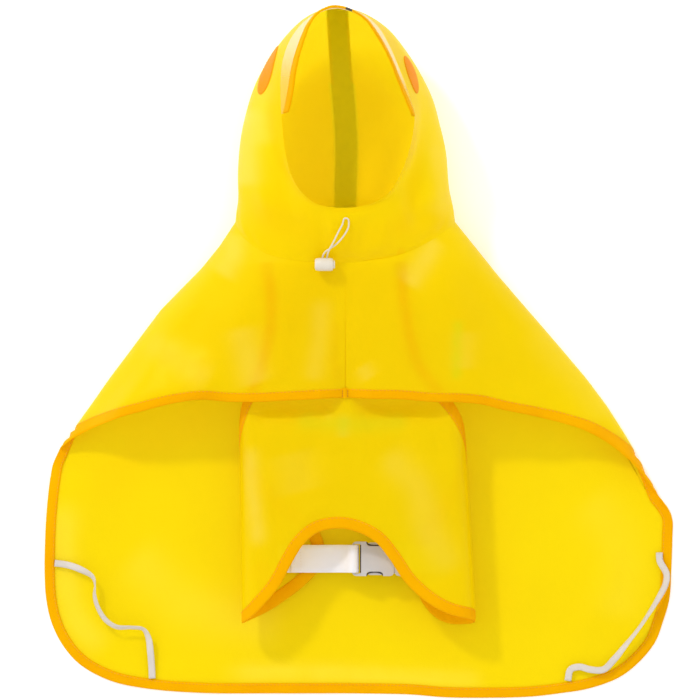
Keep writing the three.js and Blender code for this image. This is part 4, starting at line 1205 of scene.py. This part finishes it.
def brim_pieces():
    """The clear film, its binding with stitches on both faces, and painted shade where the tape's end crosses the
    crest.
    """
    foot, top = brim_lines()
    height = norm(top - foot)
    runs = lengths(top)
    way = unit(top - foot)
    out = unit(np.cross(np.gradient(foot, axis=0), way))
    rows = np.linspace(0, 0.96, 10)
    film = np.array([foot + (top - foot) * t + out * (1.2 * math.sin(math.pi * t)) for t in rows])
    uvs = np.array([np.column_stack([runs, t * height]) for t in rows])
    piece = build_grid("brim_film", film, uvs)
    dress(piece, FILM, "clear_film", "hood_brim")
    t = np.linspace(0, 1, film.shape[1])
    # The film's milky middle is a painted reflection of glare; it clears toward both ends
    clear = np.maximum(smooth((0.3 - t) / 0.22), smooth((t - 0.8) / 0.14))
    tone(piece, np.broadcast_to(clear[None, :, None], film.shape))
    upper = [(0.0, 1.1), (0.6, 1.2), (2.5, 1.25), (5.5, 1.2), (7.4, 0.9)]
    section = [*upper, (8.0, 0.0), *((d, -s) for d, s in upper[::-1])]
    wave = [0.25 * roughness_at(run / 6, 2.0, 0) for run in runs]
    rings = np.array([
        [top[i] + way[i] * (d - BRIM_BINDING) + out[i] * (s * 0.85 + wave[i]) for d, s in section]
        for i in range(len(top))
    ])
    uvs = np.array([[(run, d + (20 if s < 0 else 0)) for d, s in section] for run in runs])
    dress(build_tube("brim_edge", rings, uvs), ORANGE, "orange_binding", "brim_binding")
    # Painted shade: a near-black wrap over the binding where the tape's end crosses the crest
    crest = np.nonzero((top[:, 0] > -11) & (top[:, 0] < -3.5))[0]
    middle = np.mean(rings, axis=1)[crest][:, None]
    wrap = middle + (rings[crest] - middle) * 1.05
    dress(build_tube("crest_tape_shade", wrap, uvs[crest]), SHADE, "reflective_tape")
    for side, face in ((-1, "inner"), (1, "outer")):
        line = top - way * (BRIM_BINDING - 1.3) + out * side * 1.05
        at = np.arange(2.0, lengths(line)[-1] - 4, STITCH_PITCH)
        normal = along(out, at / lengths(line)[-1] * lengths(out)[-1]) * side
        starts, ends = along(line, at), along(line, at + 2.1)
        stitches(f"brim_stitches_{face}", starts, ends, normal, THREAD, "orange_binding", 0.22)


brim_pieces()


# Belly panel
def belly_sides(y):
    """The x of the panel's two folds."""
    down = np.clip((-81 - y) / 157, -0.3, 1)
    return -106 + 2 * down, 97 + 9 * down


def belly_height(p):
    """Height of the panel over the plan: just under the fronts."""
    x, y = p[..., 0], p[..., 1]
    below = CLOTH + 0.9 + 1.5 * smooth((np.abs(x - SEAM_X) - 45) / 30)
    drop = below * (1 - np.clip((NECK_Y - y) / (NECK_Y - HEM_Y), 0, 1))
    return chest_height(p, lambda away: SEAM_DIP + 2.2 + GAP) - drop


def belly_surface(q):
    """The belly panel's outside from its flat cloth: the top, the two side folds and the wings below."""
    x, y = q[..., 0], q[..., 1]
    left, right = belly_sides(y)
    is_left = x < SEAM_X
    edge = np.where(is_left, left, right)
    way = np.where(is_left, -1.0, 1.0)
    side = np.stack([edge - way * 17, y], axis=-1)
    radius = (belly_height(side) - WING_HEIGHT) / 2
    start = edge - way * radius
    past = (x - start) * way
    angle = np.clip(past / radius, 0, math.pi)
    top = belly_height(np.stack([np.where(past > 0, start, x), y], axis=-1))
    calm = smooth((-y + 40) / 60) * smooth(-past / 10)
    small = uneven(q, 30, 1.4, 5.5)
    top = top + (creased(q, BELLY_CREASES) * CREASE_DEPTH + small) * calm
    away = np.abs(x - SEAM_X - 3)  # two hollows just below the front hem
    lobe = smooth(away / 24) * smooth((96 - away) / 24)
    top = top - 9.5 * lobe * np.exp(-(((y + 49) / 15) ** 2))
    over = np.clip(past - math.pi * radius, 0, None)
    px = np.where(past <= 0, x, start + way * (radius * np.sin(angle) - over))
    pz = top - np.where(past > 0, radius * (1 - np.cos(angle)), 0)
    return np.stack([px, y, pz], axis=-1)


def belly_normal(q):
    return normals_of(belly_surface, q)


BELLY = curve(BELLY_EDGE, 500)


def meet(line, axis, value):
    """Where a line first meets a value of x (axis 0) or y (axis 1): its other coordinate."""
    a = line[:, axis] - value
    hit = np.nonzero(a[:-1] * a[1:] <= 0)[0]
    if not len(hit):
        return line[int(np.argmin(np.abs(a)))][1 - axis]
    i = hit[0]
    span = a[i] - a[i + 1]
    return mix(line[i, 1 - axis], line[i + 1, 1 - axis], a[i] / span if span else 0)


def belly_piece():
    """Two grids that share a row: the wings and arch below WING_ROW, and the panel from there to the neck."""
    across, wing, up = 81, 40, 40  # columns of the panel, columns of each wing past it, and rows above WING_ROW
    inner = moved(BELLY, BELLY_BINDING / 2 - 1.0)
    left_tip, right_tip = int(np.argmin(inner[:, 0])), int(np.argmax(inner[:, 0]))
    left_side, right_side = inner[: left_tip + 1], inner[right_tip:]
    bottom = inner[left_tip : right_tip + 1]
    span = meet(left_side, 1, WING_ROW), meet(right_side, 1, WING_ROW)
    middle = np.linspace(*span, across)
    left_x = np.linspace(inner[left_tip, 0] + 0.3, span[0], wing, endpoint=False)
    right_x = np.linspace(inner[right_tip, 0] - 0.3, span[1], wing, endpoint=False)[::-1]
    xs = np.concatenate([left_x, middle, right_x])
    ends = [meet(left_side, 0, x) for x in left_x], [meet(right_side, 0, x) for x in right_x]
    tops = [*ends[0], *([WING_ROW] * across), *ends[1]]
    lows = [meet(bottom, 0, x) for x in xs]
    lower = np.array([[(x, mix(low, high, t)) for x, low, high in zip(xs, lows, tops)] for t in np.linspace(0, 1, 42)])
    ends_y = left_side[0, 1], right_side[-1, 1]
    hollow = sum(ends_y) / 2 - NECK_Y + 1.5
    upper = []
    for t in np.linspace(0, 1, up):
        ends = [meet(left_side, 1, mix(WING_ROW, ends_y[0], t)), meet(right_side, 1, mix(WING_ROW, ends_y[1], t))]
        row = []
        for share in np.linspace(0, 1, across):
            top = mix(ends_y[0], ends_y[1], share) - hollow * 4 * share * (1 - share)
            row.append((mix(ends[0], ends[1], share), mix(WING_ROW, top, t)))
        upper.append(row)
    upper = np.array(upper)
    lower_points, upper_points = belly_surface(lower), belly_surface(upper)
    points = np.vstack([lower_points.reshape(-1, 3), upper_points[1:].reshape(-1, 3)])
    flat = np.vstack([lower.reshape(-1, 2), upper[1:].reshape(-1, 2)])
    faces = grid_faces(*lower.shape[:2])
    start = lower.shape[0] * lower.shape[1]
    shared = (lower.shape[0] - 1) * lower.shape[1] + wing
    faces += [(shared + j, shared + j + 1, start + j + 1, start + j) for j in range(across - 1)]
    faces += [tuple(start + k for k in face) for face in grid_faces(up - 1, across)]
    piece = build("belly_cloth", points, faces, flat)
    dress(piece, YELLOW, "yellow_cloth", "belly_panel")
    left, right = belly_sides(flat[:, 1])
    tone(piece, marked(flat, BELLY_MARKS) * ((flat[:, 0] > left) & (flat[:, 0] < right))[:, None])
    return piece


def belly_binding():
    rings, uvs = strip_rings(
        belly_surface, belly_normal, BELLY, np.linspace(0, 1, 420), BELLY_BINDING, -0.6,
        offset=-BELLY_BINDING / 2, seed=4.0,
    )
    piece = build_tube("belly_edge", rings, uvs)
    dress(piece, ORANGE, "orange_binding", "belly_binding")
    return [piece, stitch_row("belly_stitches", belly_surface, belly_normal, BELLY, BELLY_BINDING / 2 - 1.6, 0.42)]


belly = belly_piece()
belly_trim = belly_binding()


# Girth straps
def strap_piece(name, route):
    """Webbing round the buckle's bar, its end stitched down with two rows."""
    line = curve([(x, BUCKLE_Y, z) for x, z in route], 110)
    sides = np.broadcast_to((0, 1.0, 0), line.shape)
    lower = [(-1, -0.5), (-0.96, -0.95), (-0.6, -1), (0, -1), (0.6, -1), (0.96, -0.95), (1, -0.5)]
    shares = [*lower, *((-s, -t) for s, t in lower)]
    section = strip_section(shares, WEBBING, WEBBING_THICK, 60)
    piece = swept(f"{name}_webbing", line, sides, np.cross(ways_of(line), sides), *section)
    dress(piece, WHITE, "white_webbing", name)
    end, height = route[-1]
    way = math.copysign(1, -end)
    height += WEBBING_THICK / 2 + 0.02
    starts = np.array([(end + way * x, BUCKLE_Y + y, height) for x in (3, 9) for y in np.arange(-11, 10, 2.6)])
    stitches(f"{name}_stitches", starts, starts + (0, 1.8, 0), [UP] * len(starts), WHITE_THREAD, "white_webbing", 0.22)


strap_piece("girth_strap_left", STRAP_LEFT)
strap_piece("girth_strap_right", STRAP_RIGHT)


# Hard parts: the solids with softened edges
def softened(name, material, width):
    """A solid with its sharp edges bevelled; width is in metres."""
    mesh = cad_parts[name].data.copy()
    shape = bmesh.new()
    shape.from_mesh(mesh)
    bmesh.ops.remove_doubles(shape, verts=shape.verts, dist=1e-5)
    bmesh.ops.dissolve_limit(shape, angle_limit=math.radians(2), verts=shape.verts, edges=shape.edges)
    sharp = [e for e in shape.edges if len(e.link_faces) == 2 and e.calc_face_angle(0) > math.radians(35)]
    bmesh.ops.bevel(shape, geom=sharp, offset=width, segments=2, profile=0.5, affect="EDGES", clamp_overlap=True)
    bmesh.ops.triangulate(shape, faces=[f for f in shape.faces if len(f.verts) > 4])
    shape.to_mesh(mesh)
    shape.free()
    mesh.materials.clear()
    mesh.materials.append(material)
    mesh.polygons.foreach_set("use_smooth", [False] * len(mesh.polygons))
    piece = linked(name + "_moulded", mesh)
    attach(piece, "root")
    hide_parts(name)


def buckle_shade_strips():
    """Painted shade on the buckle: near-black strips round its two release arms and beside the folded webbing."""
    points, faces = [], []

    def ribbon(line, width, top):
        start = len(points)
        for right, left in zip(moved(line, -width / 2), moved(line, width / 2)):
            points.extend([(*right, top), (*left, top)])
        for i in range(len(line) - 1):
            k = start + 2 * i
            faces.append((k, k + 1, k + 3, k + 2))

    angle = np.linspace(0, math.pi, 22)
    for side in (1, -1):
        x = SOCKET_LEFT + 20.5 + 7.2 * np.cos(angle)
        y = BUCKLE_Y + side * (15.2 - 3.3 * np.sin(angle) ** 0.8)
        ribbon(np.column_stack([x, y]), 1.3, BUCKLE_Z + 2.5)
    ribbon(np.array([(2.7, BUCKLE_Y - 12.6), (2.7, BUCKLE_Y), (2.7, BUCKLE_Y + 12.6)]), 1.0, BUCKLE_Z + 2.9)
    dress(build("buckle_shade_strips", points, faces), SHADE, "grey_plastic")


buckle_shade_strips()
softened("buckle_socket", GREY, 0.0005)
softened("buckle_plug", GREY, 0.0004)
softened("cord_lock", IVORY, 0.0004)


# Floor and light
def floor_piece():
    mesh = bpy.data.meshes.new("floor")
    mesh.from_pydata([(-6, -6, 0), (6, -6, 0), (6, 6, 0), (-6, 6, 0)], [], [(0, 1, 2, 3)])
    piece = linked("floor", mesh)
    piece.location.z = -0.0004
    n = Nodes("white_surface")
    mesh.materials.append(n.surface(n.principled(
        Base_Color=n.ramp(n.noise(3.0, 2.0), 0.94, 0.96), Roughness=0.9, Specular_IOR_Level=0.1,
        Emission_Color=(1, 1, 1), Emission_Strength=0.22,
    )))


floor_piece()

light = bpy.data.lights.new("key", "AREA")
light.shape, light.size, light.energy = "DISK", 0.4, 50
lamp = linked("key", light)
lamp.location = (-1.9, 2.4, 2.7)
lamp.rotation_euler = (-lamp.location).to_track_quat("-Z", "Y").to_euler()

world = bpy.data.worlds.new("studio")
world.use_nodes = True
background = world.node_tree.nodes["Background"].inputs
background["Color"].default_value = (1, 1, 1, 1)
background["Strength"].default_value = 0.97
bpy.context.scene.world = world
bpy.context.scene.view_settings.view_transform = "Standard"
bpy.context.scene.view_settings.look = "None"
